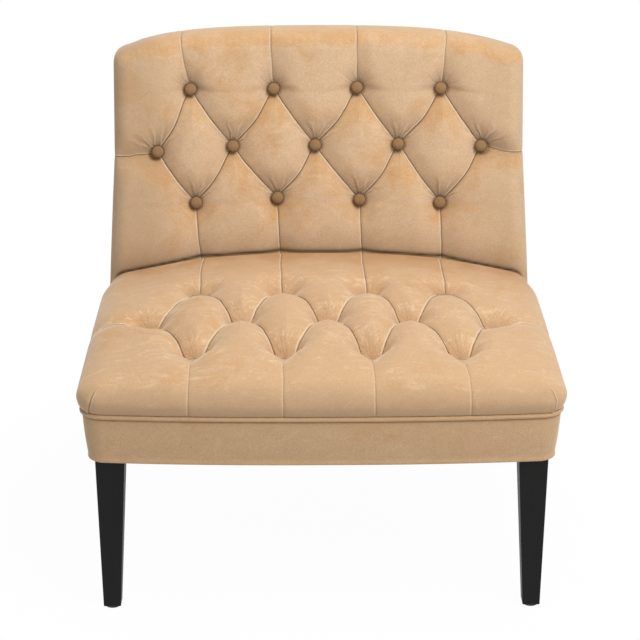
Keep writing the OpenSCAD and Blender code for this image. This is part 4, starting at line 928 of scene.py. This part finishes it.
def make_leg(node, side, top_v, foot_v, material):
    """A square tapered leg; top_v and foot_v are the front faces of its top and of its foot."""
    bm = bmesh.new()
    bmesh.ops.create_cube(bm, size=1)
    for v in bm.verts:
        top, outer, rear = (way > 0 for way in (v.co.z, v.co.x, v.co.y))
        wide = LEG_TOP if top else LEG_FOOT
        x = (LEG_OUT if top else LEG_OUT - LEG_DRAFT) - (0 if outer else wide)
        deep = (top_v if top else foot_v) + (wide if rear else 0)
        v.co = (side * x * MM, (deep - CHAIR_D / 2) * MM, (LEG_H if top else GLIDE_T) * MM)
    bmesh.ops.recalc_face_normals(bm, faces=bm.faces)
    tops = {e: sum(v.co.z > LEG_H / 2 * MM for v in e.verts) for e in bm.edges}
    upright = [e for e in bm.edges if tops[e] == 1]
    at_foot = [e for e in bm.edges if tops[e] == 0]
    bmesh.ops.bevel(bm, geom=upright + at_foot, offset=LEG_EDGE * MM, offset_type="OFFSET", affect="EDGES",
                    segments=3, profile=0.5, material=-1)
    mesh = bpy.data.meshes.new(node + "_finished")
    bm.to_mesh(mesh)
    bm.free()
    return finish_piece(link_piece(node + "_finished", mesh), material, [node])


# Materials

def node(tree, kind, **settings):
    made = tree.nodes.new(kind)
    for key, value in settings.items():
        setattr(made, key, value)
    return made


def new_group(name, inputs, outputs):
    """A group of nodes; each input's kind follows from its value, and outputs names each one's kind."""
    made = bpy.data.node_groups.new(name, "ShaderNodeTree")
    for key, value in inputs.items():
        kind = "Float" if isinstance(value, float) else {3: "Vector", 4: "Color"}[len(value)]
        made.interface.new_socket(key, in_out="INPUT", socket_type="NodeSocket" + kind).default_value = value
    for key, kind in outputs.items():
        made.interface.new_socket(key, in_out="OUTPUT", socket_type="NodeSocket" + kind)
    return made, node(made, "NodeGroupInput"), node(made, "NodeGroupOutput")


def solid(color, share=1.0):
    return (*[c * share for c in color], 1)


def math_node(tree, operation, a, b=None, c=None, clamp=False):
    made = node(tree, "ShaderNodeMath", operation=operation, use_clamp=clamp)
    for k, value in enumerate((a, b, c)):
        if value is None:
            continue
        if hasattr(value, "node"):
            tree.links.new(value, made.inputs[k])
        else:
            made.inputs[k].default_value = value
    return made.outputs[0]


def times(tree, a, b):
    return math_node(tree, "MULTIPLY", a, b)


def times_add(tree, a, b, c, clamp=False):
    return math_node(tree, "MULTIPLY_ADD", a, b, c, clamp)


def mix_color(tree, factor, a, b, blend="MIX"):
    made = node(tree, "ShaderNodeMix", data_type="RGBA", blend_type=blend)
    for name, value in ((0, factor), (6, a), (7, b)):
        if hasattr(value, "node"):
            tree.links.new(value, made.inputs[name])
        else:
            made.inputs[name].default_value = value
    return made.outputs[2]


def noise(tree, vector, scale, detail=2.0, rough=0.5, stretch=None, distortion=0.0):
    source = vector
    if stretch:
        mapping = node(tree, "ShaderNodeMapping")
        mapping.inputs["Scale"].default_value = stretch
        tree.links.new(vector, mapping.inputs["Vector"])
        source = mapping.outputs[0]
    made = node(tree, "ShaderNodeTexNoise")
    made.inputs["Scale"].default_value = scale
    made.inputs["Detail"].default_value = detail
    made.inputs["Roughness"].default_value = rough
    made.inputs["Distortion"].default_value = distortion
    tree.links.new(source, made.inputs["Vector"])
    return made.outputs["Fac"]


def spread(tree, value, low, high, new_low=0.0, new_high=1.0, kind="SMOOTHSTEP"):
    """Carries the range from low to high over to the new one, and holds it there."""
    made = node(tree, "ShaderNodeMapRange", interpolation_type=kind, clamp=True)
    for k, number in enumerate((low, high, new_low, new_high), start=1):
        made.inputs[k].default_value = number
    tree.links.new(value, made.inputs[0])
    return made.outputs[0]


def make_nap_group():
    """Brushed nap: colour that turns with how the pile lies, with painted light that warms surfaces facing up
    and painted shade that greys surfaces facing down, and the height of its fibres.
    """
    camel = (0.6, 0.4, 0.2, 1)
    inputs = {"Place": (0, 0, 0), "Lift": 0.0, "Plain": camel, "Warm": camel, "Pale": camel, "Painted shade below": camel,
              "Mottle": 1.0, "Streaks": 0.5, "Painted top light": 0.5}
    g, i, o = new_group("brushed_nap", inputs, {"Color": "Color", "Height": "Float"})
    place, lift = i.outputs["Place"], i.outputs["Lift"]
    broad = noise(g, place, scale=6.5, detail=3.0, rough=0.6, distortion=0.5)
    patch = noise(g, place, scale=17.0, detail=8.0, rough=0.72, distortion=0.7)
    stroke = noise(g, place, scale=40.0, detail=6.0, rough=0.74, stretch=(0.55, 1.3, 0.8), distortion=1.2)
    speck = noise(g, place, scale=420.0, detail=3.0, rough=0.7)
    fine = noise(g, place, scale=1300.0, detail=2.0, rough=0.6)
    # Painted light: surfaces that face up are mixed towards the warm colour, as strong as the top light
    # input, together with the warm mottle of the pile
    tilt = times_add(g, math_node(g, "SUBTRACT", patch, 0.38), 0.8, lift)
    up = times(g, spread(g, tilt, 0.30, 0.74), i.outputs["Painted top light"])
    warmth = math_node(g, "ADD", times(g, broad, 0.55), times(g, patch, 0.45))
    warmth = times(g, spread(g, warmth, 0.50, 0.66), i.outputs["Mottle"])
    warmth = math_node(g, "MAXIMUM", times(g, warmth, 0.72), up)
    worn = times_add(g, spread(g, patch, 0.30, 0.62), 0.55, 0.45)
    color = mix_color(g, times(g, warmth, worn), i.outputs["Plain"], i.outputs["Warm"])
    brushed = times(g, spread(g, stroke, 0.50, 0.66), spread(g, patch, 0.56, 0.42))
    brushed = times(g, brushed, i.outputs["Streaks"])
    color = mix_color(g, brushed, color, i.outputs["Pale"])
    # Painted shade: surfaces that face down are mixed towards a darker, greyer colour
    shade_below = times(g, spread(g, lift, 0.14, -0.40), 0.85)
    color = mix_color(g, shade_below, color, i.outputs["Painted shade below"])
    tone = times_add(g, spread(g, stroke, 0.3, 0.7, -1, 1, "LINEAR"), 0.045, 1.0)
    tone = times_add(g, spread(g, speck, 0.3, 0.7, -1, 1, "LINEAR"), 0.12, tone)
    tone = times_add(g, spread(g, fine, 0.3, 0.7, -1, 1, "LINEAR"), 0.08, tone)
    joined = node(g, "ShaderNodeCombineColor")
    for k in range(3):
        g.links.new(tone, joined.inputs[k])
    color = mix_color(g, 1.0, color, joined.outputs[0], "MULTIPLY")
    g.links.new(color, o.inputs["Color"])
    height = times_add(g, fine, 0.5, times(g, speck, 0.8))
    height = times_add(g, stroke, 1.2, height)
    g.links.new(height, o.inputs["Height"])
    return g


def make_fold_group():
    """Pleats with painted shade in the crease and a painted highlight on the raised lip, fans of small folds
    over tufts with painted shade and highlights, painted shadow round buttons, painted shade in dimples, and
    the seam's painted shade.
    """
    inputs = {"Fold": (0, 0, 0), "Tuft": (0, 0, 0), "Place": (0, 0, 0), "Hollow": (0, 0, 0),
              "Shadow round button": 0.0, "Shade in dimples": 0.0, "Seam shade": 0.13, "Seam reach": 50.0,
              "Streaks": 0.4, "Edge shade": 0.0, "Gathers": 1.0}
    outputs = ("Shade", "By the seam", "Seam shadow line", "Edge shade share", "Shine", "Height")
    g, i, o = new_group("pleats_and_gathers", inputs, dict.fromkeys(outputs, "Float"))
    part, away = node(g, "ShaderNodeSeparateXYZ"), node(g, "ShaderNodeSeparateXYZ")
    g.links.new(i.outputs["Fold"], part.inputs[0])
    g.links.new(i.outputs["Tuft"], away.inputs[0])
    within = node(g, "ShaderNodeSeparateXYZ")
    g.links.new(i.outputs["Hollow"], within.inputs[0])
    line, guard, fan = part.outputs
    dx, dy, far = away.outputs
    dimple, to_seam = within.outputs[0], within.outputs[1]
    wander = noise(g, i.outputs["Place"], scale=30.0, detail=2.0)
    line = math_node(g, "ADD", line, spread(g, wander, 0.3, 0.7, -0.5, 0.5, "LINEAR"))

    def peak(value, centre, width):
        off = math_node(g, "DIVIDE", math_node(g, "SUBTRACT", value, centre), width)
        return math_node(g, "EXPONENT", times(g, times(g, off, off), -1.0))

    # Painted shade in and beside each crease, and a painted highlight on its lip
    crease = times(g, peak(line, 0.3, 0.6), guard)
    lip = times(g, peak(line, -1.8, 1.1), guard)
    beside = times(g, peak(line, 1.2, 3.0), guard)
    angle = math_node(g, "ARCTAN2", dx, dy)
    ripple = noise(g, i.outputs["Place"], scale=40.0, detail=2.0)
    bent = times_add(g, ripple, 7.0, times(g, angle, 15.0))
    first, second = math_node(g, "SINE", bent), math_node(g, "SINE", times(g, bent, 1.73))
    wave = times_add(g, second, 0.5, times(g, first, 0.65))
    folds = times(g, times(g, wave, fan), i.outputs["Gathers"])
    height = times(g, crease, -2.0)
    height = times_add(g, lip, 0.9, height)
    height = times_add(g, folds, 0.8, height)
    g.links.new(height, o.inputs["Height"])
    dark = times(g, crease, guard)
    shade = times_add(g, dark, 0.70, times(g, beside, 0.15))
    # Painted shade in the troughs of the gathers
    shade = times_add(g, spread(g, folds, 0.0, -1.0), 0.08, shade, clamp=True)
    # Painted shadow ring round each button, then painted shade in dimples
    rim = times(g, peak(far, 11.0, 2.6), i.outputs["Shadow round button"])
    shade = math_node(g, "MAXIMUM", shade, rim)
    shade = times_add(g, math_node(g, "POWER", dimple, 2.0), i.outputs["Shade in dimples"], shade, clamp=True)
    # Painted shade at the seam of seat and back, and a darker painted shadow line in its gap
    seam = times(g, peak(to_seam, 0.0, 5.0), 0.55)
    g.links.new(math_node(g, "MAXIMUM", shade, seam), o.inputs["Shade"])
    g.links.new(times(g, peak(to_seam, 0.0, 2.6), 0.95), o.inputs["Seam shadow line"])
    # Broad painted shade near the seam, made patchy by noise
    uneven = noise(g, i.outputs["Place"], scale=15.0, detail=5.0, rough=0.65)
    uneven = spread(g, uneven, 0.36, 0.60, 0.55, 1.0)
    broad = times(g, peak(to_seam, 0.0, i.outputs["Seam reach"]), i.outputs["Seam shade"])
    broad = times(g, broad, uneven)
    g.links.new(broad, o.inputs["By the seam"])
    # Painted shade on the back's outer wings and the seat's front roll
    g.links.new(times(g, within.outputs[2], i.outputs["Edge shade"]), o.inputs["Edge shade share"])
    ray = node(g, "ShaderNodeCombineXYZ")
    g.links.new(math_node(g, "DIVIDE", dx, math_node(g, "ADD", far, 4.0)), ray.inputs[0])
    g.links.new(math_node(g, "DIVIDE", dy, math_node(g, "ADD", far, 4.0)), ray.inputs[1])
    g.links.new(times_add(g, far, 0.012, times(g, ripple, 0.5)), ray.inputs[2])
    fibres = spread(g, noise(g, ray.outputs[0], scale=9.0, detail=6.0, rough=0.68), 0.50, 0.68)
    fibres = times(g, times(g, fibres, peak(far, 26.0, 15.0)), i.outputs["Streaks"])
    # Painted highlights on pleat lips and on gathers, with pale fibre streaks round tufts
    shine = times_add(g, spread(g, folds, 0.1, 0.9), 0.38, times(g, lip, 0.85))
    g.links.new(math_node(g, "ADD", shine, fibres, clamp=True), o.inputs["Shine"])
    return g


def new_material(name):
    made = bpy.data.materials.new(name)
    made.use_nodes = True
    tree = made.node_tree
    tree.nodes.clear()
    out = node(tree, "ShaderNodeOutputMaterial")
    shader = node(tree, "ShaderNodeBsdfPrincipled")
    tree.links.new(shader.outputs[0], out.inputs[0])
    coord = node(tree, "ShaderNodeTexCoord")
    return made, tree, shader, coord.outputs["Object"]


def bump(tree, shader, height, distance, strength, normal=None):
    made = node(tree, "ShaderNodeBump")
    made.inputs["Strength"].default_value = strength
    made.inputs["Distance"].default_value = distance
    tree.links.new(height, made.inputs["Height"])
    if normal is not None:
        tree.links.new(normal, made.inputs["Normal"])
    tree.links.new(made.outputs[0], shader.inputs["Normal"])
    return made.outputs[0]


NAP = make_nap_group()
FOLD = make_fold_group()


def nap_material(name, tint, mottle, painted_top_light, streaks, folds=None, shine=0.75):
    """Cover cloth with a painted sheen towards grazing angles; folds gives the colour of the painted shade
    and how strong the painted shadow round buttons, the painted shade in dimples and the gathers are.
    """
    made, tree, shader, place = new_material(name)
    nap = node(tree, "ShaderNodeGroup", node_tree=NAP)
    lift = node(tree, "ShaderNodeAttribute", attribute_name="lift")
    tree.links.new(place, nap.inputs["Place"])
    tree.links.new(lift.outputs["Fac"], nap.inputs["Lift"])
    for key in ("Plain", "Warm", "Pale", "Painted shade below"):
        color = NAP_COLORS[key]
        nap.inputs[key].default_value = (*[c * t for c, t in zip(color, tint)], 1)
    nap.inputs["Mottle"].default_value = mottle
    nap.inputs["Painted top light"].default_value = painted_top_light
    nap.inputs["Streaks"].default_value = streaks
    # Painted sheen: the colour is lightened towards grazing angles, as strong as shine
    grazing = node(tree, "ShaderNodeLayerWeight")
    grazing.inputs["Blend"].default_value = 0.25
    painted_sheen = times(tree, math_node(tree, "POWER", grazing.outputs["Facing"], 2.0), shine)
    color = mix_color(tree, painted_sheen, nap.outputs["Color"], solid(NAP_COLORS["Painted sheen"]))
    under = None
    if folds:
        lines = node(tree, "ShaderNodeGroup", node_tree=FOLD)
        tree.links.new(place, lines.inputs["Place"])
        for key in ("fold", "tuft", "hollow"):
            layer = node(tree, "ShaderNodeAttribute", attribute_name=key)
            tree.links.new(layer.outputs["Vector"], lines.inputs[key.capitalize()])
        for key in ("Shadow round button", "Shade in dimples", "Seam shade", "Seam reach", "Streaks", "Edge shade", "Gathers"):
            lines.inputs[key].default_value = folds[key]
        # Painted shade on outer parts and by the seam, painted highlights, painted shade in creases, dimples
        # and round buttons, and the painted shadow line at the seam
        color = mix_color(tree, lines.outputs["Edge shade share"], color, solid(NAP_COLORS["Edge shade"]))
        color = mix_color(tree, lines.outputs["By the seam"], color, solid(folds["Seam"]))
        color = mix_color(tree, lines.outputs["Shine"], color, solid(NAP_COLORS["Highlight and streaks"]))
        color = mix_color(tree, lines.outputs["Shade"], color, solid(folds["Shade colour"]))
        color = mix_color(tree, lines.outputs["Seam shadow line"], color, solid(NAP_COLORS["Seam shadow line"]))
        under = bump(tree, shader, lines.outputs["Height"], distance=0.001, strength=0.9)
    tree.links.new(color, shader.inputs["Base Color"])
    shader.inputs["Roughness"].default_value = 0.92
    shader.inputs["Specular IOR Level"].default_value = 0.10
    shader.inputs["Sheen Weight"].default_value = 0.45
    shader.inputs["Sheen Roughness"].default_value = 0.38
    shader.inputs["Sheen Tint"].default_value = (1.0, 0.90, 0.76, 1)
    bump(tree, shader, nap.outputs["Height"], distance=0.00035, strength=0.6, normal=under)
    return made


def wood_material(name, light, dark, rough):
    made, tree, shader, place = new_material(name)
    rings = noise(tree, place, scale=26.0, detail=6.0, rough=0.7, stretch=(1.0, 1.0, 0.06), distortion=0.5)
    pores = noise(tree, place, scale=420.0, detail=3.0, rough=0.6, stretch=(1.0, 1.0, 0.05))
    color = mix_color(tree, spread(tree, rings, 0.32, 0.68), solid(light), solid(dark))
    color = mix_color(tree, times(tree, spread(tree, pores, 0.55, 0.75), 0.35), color, solid(dark))
    tree.links.new(color, shader.inputs["Base Color"])
    tree.links.new(spread(tree, pores, 0.3, 0.7, rough, rough + 0.12, "LINEAR"), shader.inputs["Roughness"])
    shader.inputs["Specular IOR Level"].default_value = 0.20
    bump(tree, shader, pores, distance=0.0002, strength=0.5)
    return made


def metal_material(name, color, rough):
    made, tree, shader, place = new_material(name)
    shader.inputs["Metallic"].default_value = 1.0
    wear = noise(tree, place, scale=300.0, detail=3.0)
    tree.links.new(mix_color(tree, spread(tree, wear, 0.3, 0.7), solid(color), solid(color, 0.82)),
                   shader.inputs["Base Color"])
    tree.links.new(spread(tree, wear, 0.3, 0.7, rough, rough + 0.15, "LINEAR"), shader.inputs["Roughness"])
    return made


def plastic_material(name, color, rough):
    made, tree, shader, place = new_material(name)
    grain = noise(tree, place, scale=700.0, detail=2.0)
    tree.links.new(mix_color(tree, grain, solid(color), solid(color, 1.3)), shader.inputs["Base Color"])
    tree.links.new(spread(tree, grain, 0.3, 0.7, rough, rough + 0.1, "LINEAR"), shader.inputs["Roughness"])
    bump(tree, shader, grain, distance=0.0001, strength=0.3)
    return made


def woven_material(name, light, dark, pitch):
    """Plain weave whose threads cross at the given pitch in metres."""
    made, tree, shader, place = new_material(name)
    split = node(tree, "ShaderNodeSeparateXYZ")
    tree.links.new(place, split.inputs[0])
    rate = math.tau / pitch
    warp = math_node(tree, "SINE", times(tree, split.outputs[0], rate))
    along = math_node(tree, "ADD", split.outputs[1], split.outputs[2])
    weft = math_node(tree, "SINE", times(tree, along, rate))
    weave = times(tree, warp, weft)
    uneven = noise(tree, place, scale=90.0, detail=3.0)
    value = times_add(tree, weave, 0.35, uneven)
    color = mix_color(tree, spread(tree, value, 0.1, 0.9), solid(dark), solid(light))
    tree.links.new(color, shader.inputs["Base Color"])
    shader.inputs["Roughness"].default_value = 0.95
    bump(tree, shader, weave, distance=0.0004, strength=0.6)
    return made


def foam_material(name, color):
    made, tree, shader, place = new_material(name)
    cells = node(tree, "ShaderNodeTexVoronoi")
    cells.inputs["Scale"].default_value = 700.0
    tree.links.new(place, cells.inputs["Vector"])
    age = noise(tree, place, scale=14.0, detail=3.0)
    tree.links.new(mix_color(tree, age, solid(color), solid(color, 0.86)), shader.inputs["Base Color"])
    shader.inputs["Roughness"].default_value = 0.95
    bump(tree, shader, cells.outputs["Distance"], distance=0.0004, strength=0.5)
    return made


# Nap colours: besides the cloth's own plain, warm and pale, these hold the painted shade below, the painted
# sheen, the painted edge shade, the painted highlight and the painted seam shadow
NAP_COLORS = {
    "Plain": (0.600, 0.420, 0.262),
    "Warm": (0.540, 0.302, 0.126),
    "Pale": (0.700, 0.530, 0.355),
    "Painted shade below": (0.500, 0.368, 0.245),
    "Edge shade": (0.400, 0.268, 0.160),
    "Painted sheen": (0.800, 0.640, 0.460),
    "Highlight and streaks": (0.800, 0.630, 0.440),
    "Seam shadow line": (0.060, 0.032, 0.016),
}
# For each piece: the colour of its painted shade, of its painted shade by the seam, and how strong its
# painted shade, painted highlights, streaks and gathers are
BACK_FOLDS = {
    "Shade colour": (0.200, 0.098, 0.034), "Seam": (0.200, 0.120, 0.060), "Shadow round button": 0.6, "Shade in dimples": 0.0,
    "Seam shade": 0.16, "Seam reach": 50.0, "Streaks": 0.10, "Edge shade": 0.48, "Gathers": 1.4,
}
SEAT_FOLDS = {
    "Shade colour": (0.270, 0.140, 0.055), "Seam": (0.460, 0.228, 0.080), "Shadow round button": 0.0, "Shade in dimples": 0.42,
    "Seam shade": 0.90, "Seam reach": 105.0, "Streaks": 0.65, "Edge shade": 0.48, "Gathers": 0.4,
}
BUTTON_FOLDS = {
    "Shade colour": (0.060, 0.038, 0.022), "Seam": (0, 0, 0), "Shadow round button": 0.0, "Shade in dimples": 0.8,
    "Seam shade": 0.0, "Seam reach": 1.0, "Streaks": 0.0, "Edge shade": 0.0, "Gathers": 0.0,
}
# Copies of one cloth, tinted: the back's copy is lighter and the band's and welt's darker, painted light and
# shade for how each piece faces the lamps
back_nap = nap_material("camel_nap_back", tint=(1.075, 1.075, 1.085), mottle=0.85, painted_top_light=0.8,
                        streaks=0.12, folds=BACK_FOLDS)
seat_nap = nap_material("camel_nap_seat", tint=(1.0, 0.930, 0.86), mottle=0.8, painted_top_light=0.12, streaks=0.75,
                        folds=SEAT_FOLDS, shine=0.50)
band_nap = nap_material("camel_nap_band", tint=(0.90, 0.835, 0.755), mottle=0.6, painted_top_light=0.3, streaks=0.15)
welt_nap = nap_material("camel_nap_welt", tint=(0.90, 0.835, 0.755), mottle=0.5, painted_top_light=0.2, streaks=0.1)
button_nap = nap_material("camel_nap_buttons", tint=(0.53, 0.455, 0.355), mottle=0.4, painted_top_light=0.3,
                          streaks=0.1, folds=BUTTON_FOLDS)
black_lacquer = wood_material("black_satin_lacquer", light=(0.0062, 0.0060, 0.0057),
                              dark=(0.0040, 0.0039, 0.0037), rough=0.42)
beech = wood_material("sawn_beech", light=(0.62, 0.46, 0.30), dark=(0.50, 0.34, 0.20), rough=0.6)
board = wood_material("pressed_board", light=(0.42, 0.31, 0.20), dark=(0.34, 0.24, 0.15), rough=0.8)
zinc = metal_material("zinc_plate", color=(0.62, 0.62, 0.60), rough=0.3)
yellow_brass = metal_material("yellow_brass", color=(0.72, 0.55, 0.28), rough=0.3)
black_plastic = plastic_material("black_glide_plastic", color=(0.02, 0.02, 0.02), rough=0.45)
grey_plastic = plastic_material("grey_toggle_plastic", color=(0.22, 0.22, 0.22), rough=0.5)
webbing = woven_material("brown_webbing", light=(0.36, 0.24, 0.14), dark=(0.20, 0.13, 0.08), pitch=0.004)
hessian = woven_material("raw_hessian", light=(0.56, 0.44, 0.27), dark=(0.34, 0.25, 0.14), pitch=0.003)
twine = woven_material("waxed_twine", light=(0.74, 0.68, 0.55), dark=(0.50, 0.44, 0.33), pitch=0.0012)
foam = foam_material("cream_foam", color=(0.82, 0.76, 0.56))
dust_cloth = woven_material("black_dust_cloth", light=(0.030, 0.030, 0.032),
                            dark=(0.016, 0.016, 0.017), pitch=0.0015)

NODE_MATERIALS = {
    beech: ["front_seat_rail", "rear_seat_rail", "left_seat_rail", "right_seat_rail", "corner_blocks",
            "frame_dowels", "left_back_post", "right_back_post", "lower_back_rail", "top_back_rail"],
    board: ["back_panel"],
    zinc: ["corner_block_screws", "post_bolts", "post_washers", "post_nuts", "leg_hanger_bolts"],
    yellow_brass: ["leg_inserts"],
    black_plastic: ["leg_glides"],
    webbing: ["seat_webbing_long", "seat_webbing_cross", "back_webbing_up", "back_webbing_across"],
    hessian: ["seat_hessian", "back_hessian"],
    foam: ["seat_foam", "back_foam"],
    twine: ["seat_tuft_ties", "button_ties"],
    grey_plastic: ["seat_toggles", "back_toggles"],
    dust_cloth: ["dust_cover"],
}
for material, names in NODE_MATERIALS.items():
    for name in names:
        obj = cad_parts[name]
        for place in obj.material_slots:
            place.material = material

make_back_cushion(back_nap)
make_buttons(button_nap)
make_seat_cushion(seat_nap)
make_welt(welt_nap)
make_band(band_nap)
make_outside_back(band_nap)

rear_leg_v = float(rear_v(LEG_H) - hollow(POST_OUT)) - (OUTSIDE_T + FIT + PANEL_T + FIT) / math.cos(REAR_RAKE)
rear_leg_v = rear_leg_v + REAR_LEG_SET - LEG_TOP
front_foot_v = FRONT_LEG_V + LEG_DRAFT / 2
rear_foot_v = rear_leg_v + REAR_LEG_KICK + (LEG_TOP - LEG_FOOT) / 2
for side, word in ((-1, "left"), (1, "right")):
    make_leg(f"front_{word}_leg", side, FRONT_LEG_V, front_foot_v, black_lacquer)
    make_leg(f"rear_{word}_leg", side, rear_leg_v, rear_foot_v, black_lacquer)


# Floor, light and camera, in metres. Near the chair the floor shows a share of its shade, farther off none.
FLOOR_HALF = 30
FLOOR_TONE = 0.86
SHADE_NEAR, SHADE_FAR, WHITE_NEAR = 0.45, 1.0, 0.97
SKY_STRENGTH = 0.40


def seen_rays(tree):
    """1 for what the camera sees, straight or by a mirror or glass, and 0 for light that spreads."""
    path = node(tree, "ShaderNodeLightPath")
    seen = math_node(tree, "MAXIMUM", path.outputs["Is Camera Ray"], path.outputs["Is Glossy Ray"])
    return math_node(tree, "MAXIMUM", seen, path.outputs["Is Transmission Ray"])


def add_floor():
    bm = bmesh.new()
    bmesh.ops.create_grid(bm, x_segments=1, y_segments=1, size=FLOOR_HALF)
    mesh = bpy.data.meshes.new("studio_floor")
    bm.to_mesh(mesh)
    bm.free()
    floor = link_piece("studio_floor", mesh)
    made = bpy.data.materials.new("studio_floor_white")
    made.use_nodes = True
    tree = made.node_tree
    tree.nodes.clear()
    out = node(tree, "ShaderNodeOutputMaterial")
    matt = node(tree, "ShaderNodeBsdfDiffuse")
    matt.inputs["Color"].default_value = solid((1, 1, 1), FLOOR_TONE)
    glow = node(tree, "ShaderNodeEmission")
    glow.inputs["Color"].default_value = (1, 1, 1, 1)
    both = node(tree, "ShaderNodeMixShader")
    coord = node(tree, "ShaderNodeTexCoord")
    length = node(tree, "ShaderNodeVectorMath", operation="LENGTH")
    tree.links.new(coord.outputs["Object"], length.inputs[0])
    seen = seen_rays(tree)
    share = spread(tree, length.outputs["Value"], SHADE_NEAR, SHADE_FAR, WHITE_NEAR, 1.0)
    tree.links.new(times(tree, seen, share), both.inputs[0])
    tree.links.new(matt.outputs[0], both.inputs[1])
    tree.links.new(glow.outputs[0], both.inputs[2])
    tree.links.new(both.outputs[0], out.inputs[0])
    mesh.materials.append(made)


def add_lamp(name, place, aim, size, power):
    data = bpy.data.lights.new(name, "AREA")
    data.shape = "RECTANGLE"
    data.size, data.size_y = size
    data.energy = power
    lamp = bpy.data.objects.new(name, data)
    bpy.context.collection.objects.link(lamp)
    lamp.location = place
    away = Vector(place) - Vector(aim)
    lamp.rotation_euler = away.to_track_quat("Z", "Y").to_euler()


add_floor()
add_lamp("key_softbox", place=(1.30, -1.87, 2.98), aim=(0, 0, 0.35), size=(2.0, 2.0), power=86)
add_lamp("top_softbox", place=(0.0, 0.5, 3.0), aim=(0, 0, 0.4), size=(2.4, 2.4), power=24)

world = bpy.data.worlds.new("studio")
bpy.context.scene.world = world
world.use_nodes = True
sky = world.node_tree
sky.nodes.clear()
sky_out = node(sky, "ShaderNodeOutputWorld")
plain_sky = node(sky, "ShaderNodeBackground")
plain_sky.inputs["Color"].default_value = (1, 1, 1, 1)
plain_sky.inputs["Strength"].default_value = SKY_STRENGTH
white_sky = node(sky, "ShaderNodeBackground")
white_sky.inputs["Strength"].default_value = 1.0
white_sky.inputs["Color"].default_value = (1, 1, 1, 1)
sky_mix = node(sky, "ShaderNodeMixShader")
sky.links.new(seen_rays(sky), sky_mix.inputs[0])
sky.links.new(plain_sky.outputs[0], sky_mix.inputs[1])
sky.links.new(white_sky.outputs[0], sky_mix.inputs[2])
sky.links.new(sky_mix.outputs[0], sky_out.inputs[0])

# The camera was fitted to the photograph: PHOTO_W is its width and FOCAL_PX the focal length, in pixels
PHOTO_W = 640
FOCAL_PX = 1977
SENSOR_W = 36.0
CAMERA_PLACE = (-0.029, -3.078, 1.483)
CAMERA_TILT, CAMERA_TURN = math.radians(70.0), math.radians(-0.54)
camera_data = bpy.data.cameras.new("camera")
camera_data.sensor_width = SENSOR_W
camera_data.lens = SENSOR_W * FOCAL_PX / PHOTO_W
camera = bpy.data.objects.new("camera", camera_data)
bpy.context.collection.objects.link(camera)
camera.location = CAMERA_PLACE
camera.rotation_euler = (CAMERA_TILT, 0, CAMERA_TURN)
bpy.context.scene.camera = camera
bpy.context.scene.view_settings.view_transform = "Standard"
